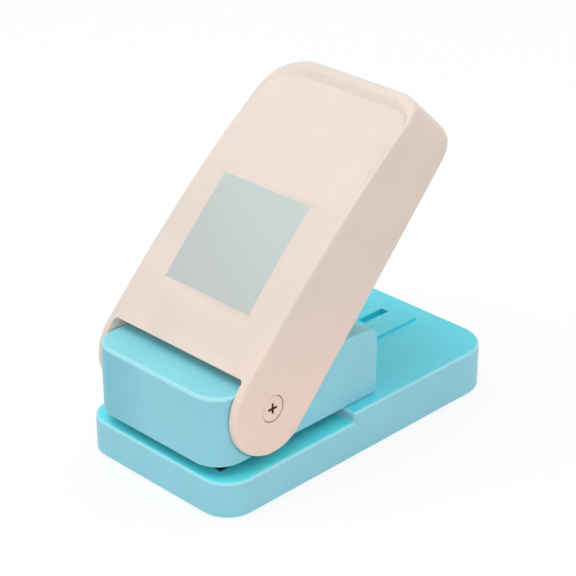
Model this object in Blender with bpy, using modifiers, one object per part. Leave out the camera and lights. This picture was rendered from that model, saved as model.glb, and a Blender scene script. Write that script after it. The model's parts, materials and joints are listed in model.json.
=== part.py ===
# Tag punch: a base with an open paper mouth, a housing that holds three punches on one carrier,
# and a long lever hinged at the front that presses the carrier down through a roller.
# Metres, +Z up. The origin lies on the table top under the middle of the base.
# +Y runs from the paper mouth at the front to the back, +X to the right seen from the mouth.

import math

import bmesh
import bpy
from mathutils import Matrix, Vector

mm = 0.001

# Clearances and cutting
touch_gap = 0.3 * mm            # between faces that rest on each other
slide_gap = 0.15 * mm           # around what slides or is pressed in
overrun = 1.0 * mm              # how far a cutter reaches past what it cuts
joint_bite = 0.5 * mm           # how far a rib or boss reaches into the wall that carries it
weld_distance = 0.002 * mm

# Base moulding
base_width = 68.0 * mm
base_length = 127.4 * mm
base_corner = 10.2 * mm         # plan radius of the four corners
base_lift = 0.5 * mm            # height of the moulding's lower rim above the table top
mouth_height = 13.1 * mm        # top of the low front part, where the paper lies
deck_height = 16.6 * mm         # top of the raised back part
mouth_depth = 57.2 * mm         # from the front edge to the step between the two levels
base_wall = 2.4 * mm
deck_thickness = 2.4 * mm
base_round = 1.2 * mm
base_rib = 1.6 * mm
ledge_thickness = 2.4 * mm      # carries the die plate
rib_column_offset = 12.0 * mm
rib_row_offset = 23.0 * mm      # behind the step
slot_width = 2.5 * mm
slot_length = 34.0 * mm
slot_depth = 4.0 * mm
slot_inset = 9.2 * mm           # from the back edge of the base to the slot's end
tongue_width = 9.7 * mm
tongue_rise = 0.5 * mm
tongue_inset = 7.2 * mm         # from the back edge of the base to the tongue's thin end
trough_wall = 1.4 * mm

# Feet
foot_radius = 3.7 * mm
foot_thickness = 1.6 * mm
foot_pad_wall = 1.1 * mm
foot_side_inset = 6.2 * mm      # from the base's side to the foot's middle
foot_end_inset = 9.0 * mm       # from the base's end to the foot's middle

# Housing over the mouth
housing_width = 58.4 * mm       # across the flat sides that the lever's arms pass
cheek_stand = 0.6 * mm          # how far the front cheeks stand out from those sides
housing_length = 71.9 * mm
housing_setback = 0.3 * mm      # behind the base's front edge
housing_top = 41.4 * mm
housing_corner = 10.0 * mm
housing_wall = 2.4 * mm
roof_thickness = 2.2 * mm
housing_round = 1.6 * mm
cheek_gap = 0.8 * mm            # between the round arm end and the cheek's curved edge

# Lever and its pivot
pivot_setback = 21.7 * mm       # behind the base's front edge
pivot_height = 32.5 * mm
arm_radius = 16.0 * mm
lever_width = 66.0 * mm
lever_side_gap = 0.4 * mm       # between an arm and the housing's side
lever_reach = 106.4 * mm        # from the pivot to the far end
crown_radius = 690.0 * mm       # of the lever's top along its length
lever_skin = 2.2 * mm
lever_far_wall = 2.4 * mm
lever_thin_wall = 2.2 * mm      # side walls behind the housing
lever_corner = 10.0 * mm
lever_heel_radius = 5.0 * mm    # lower edge of the far end
lever_round = 1.6 * mm
lip_setback = 2.75 * mm         # from the pivot to the edge of the top skin
lip_corner = 1.5 * mm
lever_rib = 1.2 * mm
lever_rib_depth = 4.0 * mm
rest_angle = math.radians(47.3)
press_angle = math.radians(45.0)

# Thumb recess in the lever's top
recess_start = 62.0 * mm        # from the pivot, where the floor leaves the top
recess_depth = 1.5 * mm
recess_side_rim = 1.9 * mm
recess_end_rim = 3.6 * mm
recess_side_slope = 1.2 * mm
recess_end_slope = 2.5 * mm
recess_corner = 6.6 * mm
recess_lead = 12.0 * mm         # how far the cutter hovers in front of the start
recess_float = 0.02 * mm

# Bare square on the lever's top
label_width = 38.8 * mm
label_length = 40.0 * mm
label_start = 21.3 * mm         # from the pivot
label_thickness = 0.6 * mm

# Press roller between the lever's two cheeks
punch_stroke = 7.0 * mm
roller_radius = 3.6 * mm
roller_width = 12.0 * mm
roller_side_gap = 0.4 * mm
axle_radius = 1.5 * mm
press_cheek = 2.4 * mm
press_cheek_nose = 3.0 * mm     # radius of a cheek's end around the axle
press_cheek_root = 9.6 * mm     # length of a cheek where it joins the skin
axle_head_radius = 2.1 * mm
axle_head_thickness = 0.8 * mm

# Pivot pins and their bushes
pin_head_radius = 4.9 * mm
pin_head_thickness = 1.7 * mm
pin_head_sink = 0.2 * mm
pin_head_gap = 0.25 * mm
pin_head_round = 0.35 * mm
pin_shoulder_radius = 3.0 * mm
pin_thread_radius = 1.9 * mm
pin_thread_length = 5.2 * mm
cross_length = 3.8 * mm
cross_width = 0.9 * mm
cross_depth = 1.1 * mm
bush_radius = 3.2 * mm
bush_length = 5.4 * mm
pivot_boss_radius = 5.6 * mm
pivot_boss_length = 3.9 * mm

# Tag shape that the tools cut
tag_width = 40.0 * mm
tag_end_offset = 6.2 * mm       # from the press line back to the end of the card
corner_cut = 11.0 * mm
tool_margin = 0.8 * mm          # how far a corner tool reaches past the card's edges
hole_radius = 2.5 * mm
hole_inset = 9.0 * mm           # from the end of the card

# Die plate, guide plate and paper guide
die_width = 48.6 * mm
die_length = 48.0 * mm
die_thickness = 2.5 * mm
die_setback = 6.7 * mm          # behind the base's front edge
die_screw_side = 11.0 * mm
die_screw_inset = 4.0 * mm
guide_thickness = 2.0 * mm
guide_sink = 0.5 * mm           # above the housing's lower rim
chip_hole_margin = 1.0 * mm
paper_guide_height = 2.9 * mm
paper_side_gap = 0.3 * mm
paper_relief = 0.8 * mm         # free space round the corner tools
paper_stop_width = 15.0 * mm
paper_back_wall = 3.0 * mm
paper_funnel = 1.4 * mm
paper_funnel_length = 3.0 * mm
paper_guide_front = 4.0 * mm    # behind the die plate's front edge
peg_radius = 0.9 * mm
peg_length = 1.8 * mm
peg_gap = 0.2 * mm
peg_row_inset = 6.0 * mm

# Carrier with its three tools
carrier_thickness = 4.5 * mm
carrier_margin = 1.4 * mm       # beyond the corner tools
carrier_front = 11.3 * mm       # in front of the press line
carrier_corner = 2.5 * mm
tongue_half_width = 7.0 * mm
wear_thickness = 1.4 * mm
wear_width = 19.0 * mm
wear_length = 14.0 * mm
wear_sink = 0.8 * mm            # how deep the wear plate sits in the carrier
cutter_recess = 0.7 * mm        # cutting edges above the guide plate's lower face at rest
shear_rise = 0.9 * mm           # slope of a corner tool's cutting face
punch_pin_head = 1.3 * mm
punch_pin_head_radius = 4.0 * mm
punch_pin_notch = 0.8 * mm
punch_pin_lead = 0.3 * mm       # how far the hole pin stands below the corner tools

# Guide pins, towers and return springs
side_spring_x = 15.0 * mm
side_spring_back = 6.3 * mm     # in front of the press line
rear_spring_back = 11.0 * mm    # behind the press line
guide_pin_radius = 2.0 * mm
guide_pin_sink = 0.3 * mm
guide_pin_flange_radius = 3.7 * mm
guide_pin_flange = 1.0 * mm
guide_pin_chamfer = 0.5 * mm
guide_pin_play = 0.2 * mm
tower_radius = 5.2 * mm
tower_wall = 1.1 * mm
tower_ceiling = 1.6 * mm
tower_roof_gap = 0.8 * mm
spring_wire = 0.35 * mm         # radius of the wire
spring_radius = 3.2 * mm        # to the middle of the wire
spring_turns = 8
spring_end_pitch = 1.15 * mm

# Screws
screw_radius = 1.45 * mm
screw_head_radius = 2.8 * mm
screw_head_height = 1.8 * mm
screw_boss_radius = 3.4 * mm
frame_boss_drop = 8.2 * mm      # of the base's screw bosses below the deck
frame_screw_reach = 11.0 * mm   # into the housing's bosses
frame_screw_outer = 20.5 * mm
frame_screw_inner = 8.0 * mm
frame_screw_back = 7.0 * mm     # behind the step
front_screw_side = 5.5 * mm     # from the housing's inner side wall
front_screw_back = 6.5 * mm     # from the housing's inner front wall
small_screw_radius = 1.25 * mm
small_head_radius = 2.3 * mm
small_head_height = 1.1 * mm
small_screw_length = 5.0 * mm
guide_screw_length = 12.0 * mm
cutter_screw_length = 8.5 * mm
small_boss_radius = 2.7 * mm
small_boss_drop = 3.2 * mm
screw_gap = 0.2 * mm

# Cover under the chip bin
cover_thickness = 1.8 * mm
cover_ledge = 1.0 * mm
cover_corner = 2.5 * mm
cover_clip_width = 8.0 * mm
cover_clip_height = 2.6 * mm
cover_clip_thickness = 1.2 * mm
finger_notch_radius = 5.0 * mm

# Places worked out from the sizes above
half_width = base_width / 2
front_y = -base_length / 2
back_y = base_length / 2
step_y = front_y + mouth_depth
housing_bottom = deck_height + touch_gap
housing_half = housing_width / 2
housing_front = front_y + housing_setback
housing_back = housing_front + housing_length
roof_under = housing_top - roof_thickness
pivot_y = front_y + pivot_setback
arm_half = housing_half + lever_side_gap
lever_half = lever_width / 2

# The roller's middle swings as far above the pivot's level as below it, so the carrier's travel
# follows the lever's angle almost in a straight line.
half_press = press_angle / 2
roller_arm = punch_stroke / (2 * math.sin(half_press))
roller_rest = Vector((0, roller_arm * math.cos(half_press), roller_arm * math.sin(half_press)))
roller_local_angle = half_press - rest_angle
roller_local = Vector((0, roller_arm * math.cos(roller_local_angle),
                       roller_arm * math.sin(roller_local_angle)))
press_y = pivot_y + (roller_rest.y + roller_arm) / 2

wear_top = pivot_height + roller_rest.z - roller_radius - touch_gap
wear_under = wear_top - wear_thickness
carrier_top = wear_under - touch_gap + wear_sink
carrier_under = carrier_top - carrier_thickness
guide_under = housing_bottom + guide_sink
guide_top = guide_under + guide_thickness
die_top = mouth_height
die_under = die_top - die_thickness
die_seat = die_under - touch_gap
ledge_under = die_seat - ledge_thickness
die_front = front_y + die_setback
die_back = die_front + die_length
tag_end = tag_end_offset        # measured from the press line
tool_outer = tag_width / 2 + tool_margin
tool_back = tag_end + tool_margin
tool_leg = corner_cut + 2 * tool_margin
cutter_under = guide_under + cutter_recess
tower_top = roof_under - tower_roof_gap
spring_low = guide_top + touch_gap + guide_pin_flange + touch_gap
spring_high = tower_top - tower_ceiling - touch_gap
spring_places = [(side_spring_x, -side_spring_back), (-side_spring_x, -side_spring_back),
                 (0, rear_spring_back)]
spring_names = ["right", "left", "rear"]

side_frame = Matrix(((0, 0, 1, 0), (1, 0, 0, 0), (0, 1, 0, 0), (0, 0, 0, 1)))
along_x = Matrix.Rotation(math.pi / 2, 4, 'Y')
sharp_edge = math.radians(35)
flat_angle = math.radians(0.05)


# Scene, collections and materials

def new_collection(name):
    collection = bpy.data.collections.new(name)
    bpy.context.scene.collection.children.link(collection)
    return collection


for leftover in list(bpy.data.objects):
    bpy.data.objects.remove(leftover, do_unlink=True)
parts = new_collection("tag_punch")
cutters = new_collection("tag_punch_cutters")


def new_material(name, colour, roughness, metallic=0.0):
    material = bpy.data.materials.new(name)
    material.use_nodes = True
    shader = material.node_tree.nodes["Principled BSDF"]
    shader.inputs["Base Color"].default_value = (*colour, 1)
    shader.inputs["Roughness"].default_value = roughness
    shader.inputs["Metallic"].default_value = metallic
    material.diffuse_color = (*colour, 1)
    return material


blue = new_material("blue_plastic", (0.17, 0.56, 0.66), 0.45)
cream = new_material("cream_plastic", (0.79, 0.66, 0.58), 0.45)
square_grey = new_material("square_grey", (0.57, 0.65, 0.66), 0.35)
dark_plastic = new_material("dark_plastic", (0.03, 0.035, 0.04), 0.5)
steel = new_material("steel", (0.56, 0.57, 0.58), 0.3, 1.0)
cast_zinc = new_material("cast_zinc", (0.42, 0.43, 0.44), 0.5, 1.0)
brass = new_material("brass", (0.72, 0.52, 0.24), 0.35, 1.0)
spring_steel = new_material("spring_steel", (0.5, 0.5, 0.51), 0.28, 1.0)
screw_steel = new_material("screw_steel", (0.46, 0.46, 0.47), 0.35, 1.0)
rubber = new_material("rubber", (0.05, 0.05, 0.055), 0.85)


# Outlines

def rounded(corners, steps=8):
    """Polygon through (x, y, radius) corners, with an arc wherever the radius isn't zero."""
    path = []
    for i, (x, y, radius) in enumerate(corners):
        here = Vector((x, y))
        if radius <= 0:
            path.append(here)
            continue
        before = (Vector(corners[i - 1][:2]) - here).normalized()
        after = (Vector(corners[(i + 1) % len(corners)][:2]) - here).normalized()
        half = before.angle(after) / 2
        reach = radius / math.tan(half)
        centre = here + (before + after).normalized() * (radius / math.sin(half))
        start = here + before * reach - centre
        end = here + after * reach - centre
        first = math.atan2(start.y, start.x)
        sweep = (math.atan2(end.y, end.x) - first + math.pi) % (2 * math.pi) - math.pi
        for k in range(steps + 1):
            angle = first + sweep * k / steps
            path.append(centre + Vector((math.cos(angle), math.sin(angle))) * radius)
    return path


def rectangle(low_x, high_x, low_y, high_y, radius=0.0, steps=8):
    corners = [(low_x, low_y), (high_x, low_y), (high_x, high_y), (low_x, high_y)]
    return rounded([(x, y, radius) for x, y in corners], steps)


def ring(x, y, radius, steps=24):
    turns = [2 * math.pi * k / steps for k in range(steps)]
    return [Vector((x + radius * math.cos(a), y + radius * math.sin(a))) for a in turns]


def arc(x, y, radius, first, last, steps):
    turns = [math.radians(first + (last - first) * k / steps) for k in range(steps + 1)]
    return [Vector((x + radius * math.cos(a), y + radius * math.sin(a))) for a in turns]


# Making objects

def add_object(name, mesh, collection, parent=None):
    thing = bpy.data.objects.new(name, mesh)
    collection.objects.link(thing)
    thing.parent = parent
    return thing


def clean(mesh):
    """Weld the loose caps and merge flat faces."""
    work = bmesh.new()
    work.from_mesh(mesh)
    bmesh.ops.remove_doubles(work, verts=work.verts, dist=weld_distance)
    bmesh.ops.dissolve_limit(work, angle_limit=flat_angle, verts=work.verts, edges=work.edges)
    bmesh.ops.recalc_face_normals(work, faces=work.faces)
    work.to_mesh(mesh)
    work.free()


def evaluated_mesh(thing):
    graph = bpy.context.evaluated_depsgraph_get()
    return bpy.data.meshes.new_from_object(thing.evaluated_get(graph))


def slab(name, loops, low, high, frame=None, collection=cutters, parent=None):
    """Flat outlines, the inner ones as holes, given thickness from low to high."""
    curve = bpy.data.curves.new(name + "_outline", 'CURVE')
    curve.dimensions = '2D'
    curve.fill_mode = 'BOTH'
    curve.extrude = (high - low) / 2
    for loop in loops:
        spline = curve.splines.new('POLY')
        spline.points.add(len(loop) - 1)
        for point, place in zip(spline.points, loop):
            point.co = (place[0], place[1], 0, 1)
        spline.use_cyclic_u = True
    outline = add_object(name + "_outline", curve, cutters)
    mesh = evaluated_mesh(outline)
    bpy.data.objects.remove(outline, do_unlink=True)
    mesh.name = name
    mesh.transform(Matrix.Translation((0, 0, (low + high) / 2)))
    if frame:
        mesh.transform(frame)
    clean(mesh)
    return add_object(name, mesh, collection, parent)


def block(name, low, high, collection=cutters, parent=None):
    """Box between two opposite corners."""
    work = bmesh.new()
    bmesh.ops.create_cube(work, size=1.0)
    low, high = Vector(low), Vector(high)
    bmesh.ops.scale(work, vec=high - low, verts=work.verts)
    bmesh.ops.translate(work, vec=(low + high) / 2, verts=work.verts)
    mesh = bpy.data.meshes.new(name)
    work.to_mesh(mesh)
    work.free()
    return add_object(name, mesh, collection, parent)


def rods(name, places, radius, low, high, frame=None, steps=24, collection=cutters, parent=None):
    """Upright round bars of one size at several places, as one mesh."""
    work = bmesh.new()
    for x, y in places:
        middle = Matrix.Translation((x, y, (low + high) / 2))
        bmesh.ops.create_cone(work, cap_ends=True, segments=steps, radius1=radius, radius2=radius,
                              depth=high - low, matrix=middle)
    mesh = bpy.data.meshes.new(name)
    work.to_mesh(mesh)
    work.free()
    if frame:
        mesh.transform(frame)
    return add_object(name, mesh, collection, parent)


def turned(name, profile, closed=False, steps=24, collection=parts, parent=None, place=(0, 0, 0)):
    """Profile of (radius, height) points, top to bottom, turned about Z by a Screw modifier."""
    mesh = bpy.data.meshes.new(name)
    points = [(r, 0, z) for r, z in profile]
    edges = [(k, k + 1) for k in range(len(points) - 1)]
    if closed:
        edges.append((len(points) - 1, 0))
    mesh.from_pydata(points, edges, [])
    thing = add_object(name, mesh, collection, parent)
    thing.location = place
    screw = thing.modifiers.new("turn", 'SCREW')
    screw.steps = steps
    screw.render_steps = steps
    screw.use_merge_vertices = True
    screw.merge_threshold = weld_distance
    return thing


def combine(thing, other, operation, own_overlaps=False):
    boolean = thing.modifiers.new(operation.lower() + "_" + other.name, 'BOOLEAN')
    boolean.operation = operation
    boolean.object = other
    boolean.solver = 'EXACT'
    boolean.use_self = own_overlaps
    other.hide_render = True
    other.display_type = 'WIRE'


def cut(thing, *others):
    for other in others:
        combine(thing, other, 'DIFFERENCE')


def fuse(thing, *others):
    for other in others:
        combine(thing, other, 'UNION')


def settle(thing):
    """Turn the evaluated form into the object's own mesh."""
    mesh = evaluated_mesh(thing)
    thing.modifiers.clear()
    thing.data = mesh
    clean(mesh)


def soften(thing, width, share_at, segments=3):
    """Round the sharp edges; share_at gives each edge's part of the full width by its middle."""
    settle(thing)
    work = bmesh.new()
    work.from_mesh(thing.data)
    weight = work.edges.layers.float.new("bevel_weight_edge")
    for edge in work.edges:
        if len(edge.link_faces) == 2 and edge.calc_face_angle() > sharp_edge:
            edge[weight] = share_at((edge.verts[0].co + edge.verts[1].co) / 2)
    work.to_mesh(thing.data)
    work.free()
    bevel = thing.modifiers.new("rounding", 'BEVEL')
    bevel.limit_method = 'WEIGHT'
    bevel.width = width
    bevel.segments = segments
    bevel.use_clamp_overlap = False


def dress(thing, material):
    thing.data.materials.clear()
    thing.data.materials.append(material)
    thing.data.shade_smooth()
    thing.data.set_sharp_from_angle(angle=sharp_edge)
    return thing


def new_frame(name, place, turn=0.0, parent=None):
    """Empty on a joint's axis."""
    empty = bpy.data.objects.new(name, None)
    parts.objects.link(empty)
    empty.empty_display_size = base_corner
    empty.location = place
    empty.rotation_euler.x = turn
    empty.parent = parent
    return empty


hinge_frame = new_frame("lever_hinge", (0, pivot_y, pivot_height), rest_angle)
slide_frame = new_frame("carrier_slide", (0, press_y, 0))


# Base with its feet and cover

frame_screw_y = step_y + frame_screw_back
frame_screws = [(x, frame_screw_y) for x in
                (-frame_screw_outer, -frame_screw_inner, frame_screw_inner, frame_screw_outer)]
foot_x = half_width - foot_side_inset
foot_y = back_y - foot_end_inset
foot_places = [(foot_x, -foot_y), (-foot_x, -foot_y), (foot_x, foot_y), (-foot_x, foot_y)]
foot_names = ["front_right", "front_left", "rear_right", "rear_left"]
foot_seat = foot_thickness + touch_gap
die_half = die_width / 2
die_screws = [(x, y) for x in (-die_screw_side, die_screw_side)
              for y in (die_front + die_screw_inset, die_back - die_screw_inset)]
bin_half = die_half - ledge_thickness
bin_front = die_front
bin_back = die_back - ledge_thickness
cover_top = base_lift + touch_gap + cover_thickness
bin_low = cover_top + touch_gap


def base_side_profile():
    low = base_lift
    return [(front_y - overrun, low), (back_y + overrun, low), (back_y + overrun, deck_height),
            (step_y, deck_height), (step_y, mouth_height), (front_y - overrun, mouth_height)]


def base_edge_share(middle):
    if middle.z < (base_lift + mouth_height) / 2:
        return 0.4
    if abs(middle.z - mouth_height) < weld_distance and abs(middle.y - step_y) < weld_distance:
        return 0.35
    return 1.0


def make_base():
    base = slab("base", [rectangle(-half_width, half_width, front_y, back_y, base_corner)],
                0, deck_height + overrun, collection=parts)
    sides = slab("base_sides", [base_side_profile()], -base_width, base_width, side_frame)
    combine(base, sides, 'INTERSECT')
    soften(base, base_round, base_edge_share)

    inner_corner = base_corner - base_wall
    inner_half = half_width - base_wall
    channel_low = die_half + base_rib
    pocket_top = deck_height - deck_thickness
    channel_top = mouth_height - deck_thickness
    row = step_y + rib_row_offset
    rib = base_rib / 2
    for side in (-1, 1):
        edges = sorted((side * channel_low, side * inner_half))
        outline = rounded([(side * channel_low, front_y + base_wall, 0),
                           (side * inner_half, front_y + base_wall, channel_corner()),
                           (side * inner_half, step_y - base_rib, 0),
                           (side * channel_low, step_y - base_rib, 0)])
        cut(base, slab(f"base_channel_{'right' if side > 0 else 'left'}", [outline],
                       -overrun, channel_top))
        outer = rounded([(side * (rib_column_offset + rib), row + rib, 0),
                         (side * inner_half, row + rib, 0),
                         (side * inner_half, back_y - base_wall, inner_corner),
                         (side * (rib_column_offset + rib), back_y - base_wall, 0)])
        cut(base, slab(f"base_rear_pocket_{'right' if side > 0 else 'left'}", [outer],
                       -overrun, pocket_top))
        low_x, high_x = sorted((side * (rib_column_offset + rib), edges[1] if side > 0 else edges[0]))
        cut(base, block(f"base_mid_pocket_{'right' if side > 0 else 'left'}",
                        (low_x, step_y + base_wall, -overrun), (high_x, row - rib, pocket_top)))
    middle = rib_column_offset - rib
    cut(base, block("base_mid_pocket", (-middle, step_y + base_wall, -overrun),
                    (middle, row - rib, pocket_top)))
    cut(base, block("base_rear_pocket", (-middle, row + rib, -overrun),
                    (middle, back_y - base_wall, pocket_top)))
    cut(base, slab("base_bin", [rectangle(-bin_half, bin_half, bin_front, bin_back, cover_corner)],
                   -overrun, ledge_under))
    cut(base, slab("base_cover_seat", [cover_outline(0)], -overrun, bin_low))

    posts = rods("base_foot_posts", foot_places, foot_radius + foot_pad_wall,
                 base_lift + touch_gap, channel_top + joint_bite, steps=16)
    screw_posts = rods("base_screw_posts", frame_screws, screw_boss_radius,
                       pocket_top - frame_boss_drop, pocket_top + joint_bite, steps=16)
    die_posts = rods("base_die_posts", die_screws, small_boss_radius,
                     ledge_under - small_boss_drop, ledge_under + joint_bite, steps=16)
    fuse(base, posts, screw_posts, die_posts)

    slot_x = -tongue_width / 2 - slot_width / 2
    slot_back = back_y - slot_inset
    reach = slot_width / 2
    trough = block("base_slot_trough",
                   (slot_x - reach - trough_wall, slot_back - slot_length - trough_wall,
                    deck_height - slot_depth - trough_wall),
                   (slot_x + reach + trough_wall, slot_back + trough_wall, pocket_top + joint_bite))
    fuse(base, trough, make_tongue())
    cut(base, block("base_slot", (slot_x - reach, slot_back - slot_length, deck_height - slot_depth),
                    (slot_x + reach, slot_back, deck_height + overrun)))

    cut(base, block("base_die_seat", (-die_half - touch_gap, die_front - touch_gap, die_seat),
                    (die_half + touch_gap, die_back + touch_gap, die_top + overrun)))
    chip_half = tool_outer + chip_hole_margin
    chip_front = press_y + tool_back - tool_leg - chip_hole_margin
    cut(base, block("base_chip_hole", (-chip_half, chip_front, 0),
                    (chip_half, press_y + tool_back + chip_hole_margin, die_seat + overrun)))
    cut(base, rods("base_foot_seats", foot_places, foot_radius + slide_gap, -overrun, foot_seat,
                   steps=20))
    cut(base, rods("base_screw_holes", frame_screws, screw_radius + screw_gap, -overrun,
                   deck_height + overrun, steps=12))
    cut(base, rods("base_die_screw_holes", die_screws, small_screw_radius + screw_gap, 0,
                   die_seat + overrun, steps=12))
    return dress(base, blue)


def channel_corner():
    """Plan radius of a side channel's outer front corner, kept inside the channel's width."""
    return min(base_corner - base_wall, half_width - base_wall - die_half - base_rib)


def make_tongue():
    """Low wedge on the deck that runs out to nothing near the back edge."""
    start = housing_back + 2 * touch_gap
    end = back_y - tongue_inset
    outline = [(start, deck_height - joint_bite), (end, deck_height - joint_bite),
               (end, deck_height), (start, deck_height + tongue_rise)]
    return slab("base_tongue", [outline], -tongue_width / 2, tongue_width / 2, side_frame)


def cover_outline(gap):
    half = bin_half + cover_ledge - gap
    return rectangle(-half, half, bin_front - cover_ledge + gap, bin_back + cover_ledge - gap,
                     cover_corner + cover_ledge - gap)


def make_cover():
    low = base_lift + touch_gap
    cover = slab("chip_cover", [cover_outline(touch_gap)], low, cover_top, collection=parts)
    clip_half = cover_clip_width / 2
    wall = bin_front + touch_gap
    front_clip = block("cover_front_clip", (-clip_half, wall, cover_top - joint_bite),
                       (clip_half, wall + cover_clip_thickness, cover_top + cover_clip_height))
    wall = bin_back - touch_gap
    rear_clip = block("cover_rear_clip", (-clip_half, wall - cover_clip_thickness,
                                          cover_top - joint_bite),
                      (clip_half, wall, cover_top + cover_clip_height))
    fuse(cover, front_clip, rear_clip)
    notch = rods("cover_notch", [(bin_half + cover_ledge, (bin_front + bin_back) / 2)],
                 finger_notch_radius, 0, cover_top + overrun)
    cut(cover, notch)
    return dress(cover, dark_plastic)


def make_feet():
    edge = foot_thickness / 4
    profile = [(0, foot_thickness), (foot_radius, foot_thickness), (foot_radius, edge),
               (foot_radius - edge, 0), (0, 0)]
    for name, (x, y) in zip(foot_names, foot_places):
        dress(turned(f"foot_{name}", profile, steps=20, place=(x, y, 0)), rubber)


# Die plate, paper guide and guide plate

def corner_tool(side, grow):
    """Triangle that a corner tool takes off the card, seen from above, from the press line."""
    diagonal = grow * (1 + math.sqrt(2))
    outer = side * (tool_outer + grow)
    inner = side * (tool_outer - tool_leg - diagonal)
    return [(outer, tool_back + grow), (inner, tool_back + grow),
            (outer, tool_back - tool_leg - diagonal)]


def cut_tool_windows(plate, low, high):
    """Openings that the three tools pass through with a sliding fit."""
    for side, word in ((1, "right"), (-1, "left")):
        outline = [(x, y + press_y) for x, y in corner_tool(side, slide_gap)]
        cut(plate, slab(f"{plate.name}_window_{word}", [outline], low - overrun, high + overrun))
    cut(plate, rods(f"{plate.name}_window_hole", [(0, press_y + tag_end - hole_inset)],
                    hole_radius + slide_gap, low - overrun, high + overrun))


def peg_places():
    side = (tag_width / 2 + paper_side_gap + die_half) / 2
    back = press_y + tool_back + paper_relief + paper_back_wall / 2
    front = die_front + paper_guide_front + peg_row_inset
    return [(-side, front), (side, front), (-side / 2, back), (side / 2, back)]


def make_die_plate():
    outline = rectangle(-die_half, die_half, die_front, die_back, slide_gap + touch_gap, 2)
    holes = [ring(x, y, peg_radius + peg_gap, 12) for x, y in peg_places()]
    plate = slab("die_plate", [outline] + holes, die_under, die_top, collection=parts)
    cut_tool_windows(plate, die_under, die_top)
    for k, (x, y) in enumerate(die_screws):
        cut_screw_seat(plate, f"die_screw_seat_{k}", (x, y, die_top), die_thickness)
    return dress(plate, steel)


def cut_screw_seat(thing, name, place, depth, upward=False, parent=None):
    """Countersink and through hole of one small screw, from its face inwards."""
    head = small_head_radius + screw_gap
    shaft = small_screw_radius + screw_gap
    profile = [(0, overrun), (head, overrun), (head, 0), (shaft, -small_head_height - screw_gap),
               (shaft, -depth - overrun), (0, -depth - overrun)]
    seat = turned(name, profile, steps=12, collection=cutters, parent=parent, place=place)
    if upward:
        seat.rotation_euler.x = math.pi
    cut(thing, seat)


def small_screw_profile(length):
    """Countersunk screw with its head's face at height zero and its point below."""
    return [(0, 0), (small_head_radius, 0), (small_screw_radius, -small_head_height),
            (small_screw_radius, -length + small_screw_radius), (0, -length)]


def make_small_screws(name, places, length, face, upward=False, parent=None):
    """Row of identical countersunk screws, numbered from the left front."""
    for k, (x, y) in enumerate(places):
        screw = turned(f"{name}_{k + 1}", small_screw_profile(length), steps=12, parent=parent,
                       place=(x, y, face))
        if upward:
            screw.rotation_euler.x = math.pi
        dress(screw, screw_steel)


def make_paper_guide():
    """Fork that leads the card in and stops its end, with room around the corner tools."""
    slot = tag_width / 2 + paper_side_gap
    card_end = press_y + tag_end
    front = die_front + paper_guide_front
    back = press_y + tool_back + paper_relief + paper_back_wall
    low = die_top + touch_gap
    high = low + paper_guide_height
    guide = block("paper_guide", (-die_half, front, low), (die_half, back, high), parts)
    mouth = slot + paper_funnel * (1 + overrun / paper_funnel_length)
    lane = [(-slot, card_end), (-slot, front + paper_funnel_length), (-mouth, front - overrun),
            (mouth, front - overrun), (slot, front + paper_funnel_length), (slot, card_end)]
    cut(guide, slab("paper_guide_lane", [lane], low - overrun, high + overrun))
    relief = tool_outer + paper_relief
    relief_front = press_y + tool_back - tool_leg - paper_relief
    stop = paper_stop_width / 2
    for side, word in ((1, "right"), (-1, "left")):
        low_x, high_x = sorted((side * stop, side * relief))
        cut(guide, block(f"paper_guide_relief_{word}", (low_x, relief_front, low - overrun),
                         (high_x, back - paper_back_wall, high + overrun)))
    fuse(guide, rods("paper_guide_pegs", peg_places(), peg_radius, low - peg_length,
                     low + joint_bite, steps=12))
    return dress(guide, dark_plastic)


inner_side = housing_half - housing_wall
inner_front = housing_front + housing_wall
inner_back = housing_back - housing_wall
inner_corner_radius = housing_corner - housing_wall
front_screws = [(side * (inner_side - front_screw_side), inner_front + front_screw_back)
                for side in (-1, 1)]


def make_guide_plate():
    gap = touch_gap
    corners = [(-inner_side + gap, inner_front + gap, inner_corner_radius),
               (inner_side - gap, inner_front + gap, inner_corner_radius),
               (inner_side - gap, inner_back - gap, 0), (-inner_side + gap, inner_back - gap, 0)]
    holes = [ring(x, y, screw_radius + screw_gap, 12) for x, y in frame_screws]
    holes += [ring(x, y + press_y, guide_pin_radius + slide_gap, 16) for x, y in spring_places]
    plate = slab("guide_plate", [rounded(corners)] + holes, guide_under, guide_top,
                 collection=parts)
    cut_tool_windows(plate, guide_under, guide_top)
    for k, (x, y) in enumerate(front_screws):
        cut_screw_seat(plate, f"guide_screw_seat_{k}", (x, y, guide_under), guide_thickness,
                       upward=True)
    return dress(plate, steel)


# Housing

def press_cheek_outline():
    """Side outline of a press cheek in the lever's frame: a wide root that narrows to the axle."""
    nose = press_cheek_nose
    root_low = roller_local.y - press_cheek_root / 2
    root_high = roller_local.y + press_cheek_root / 2
    top_low = crown(root_low) - lever_skin + joint_bite
    top_high = crown(root_high) - lever_skin + joint_bite
    end = arc(roller_local.y, roller_local.z, nose, 180, 360, 10)
    return [Vector((root_high, top_high)), Vector((root_low, top_low))] + end


def crown(along):
    """Height of the lever's top above the pivot, in the lever's frame."""
    return arm_radius - crown_radius + math.sqrt(crown_radius ** 2 - along ** 2)


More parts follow.
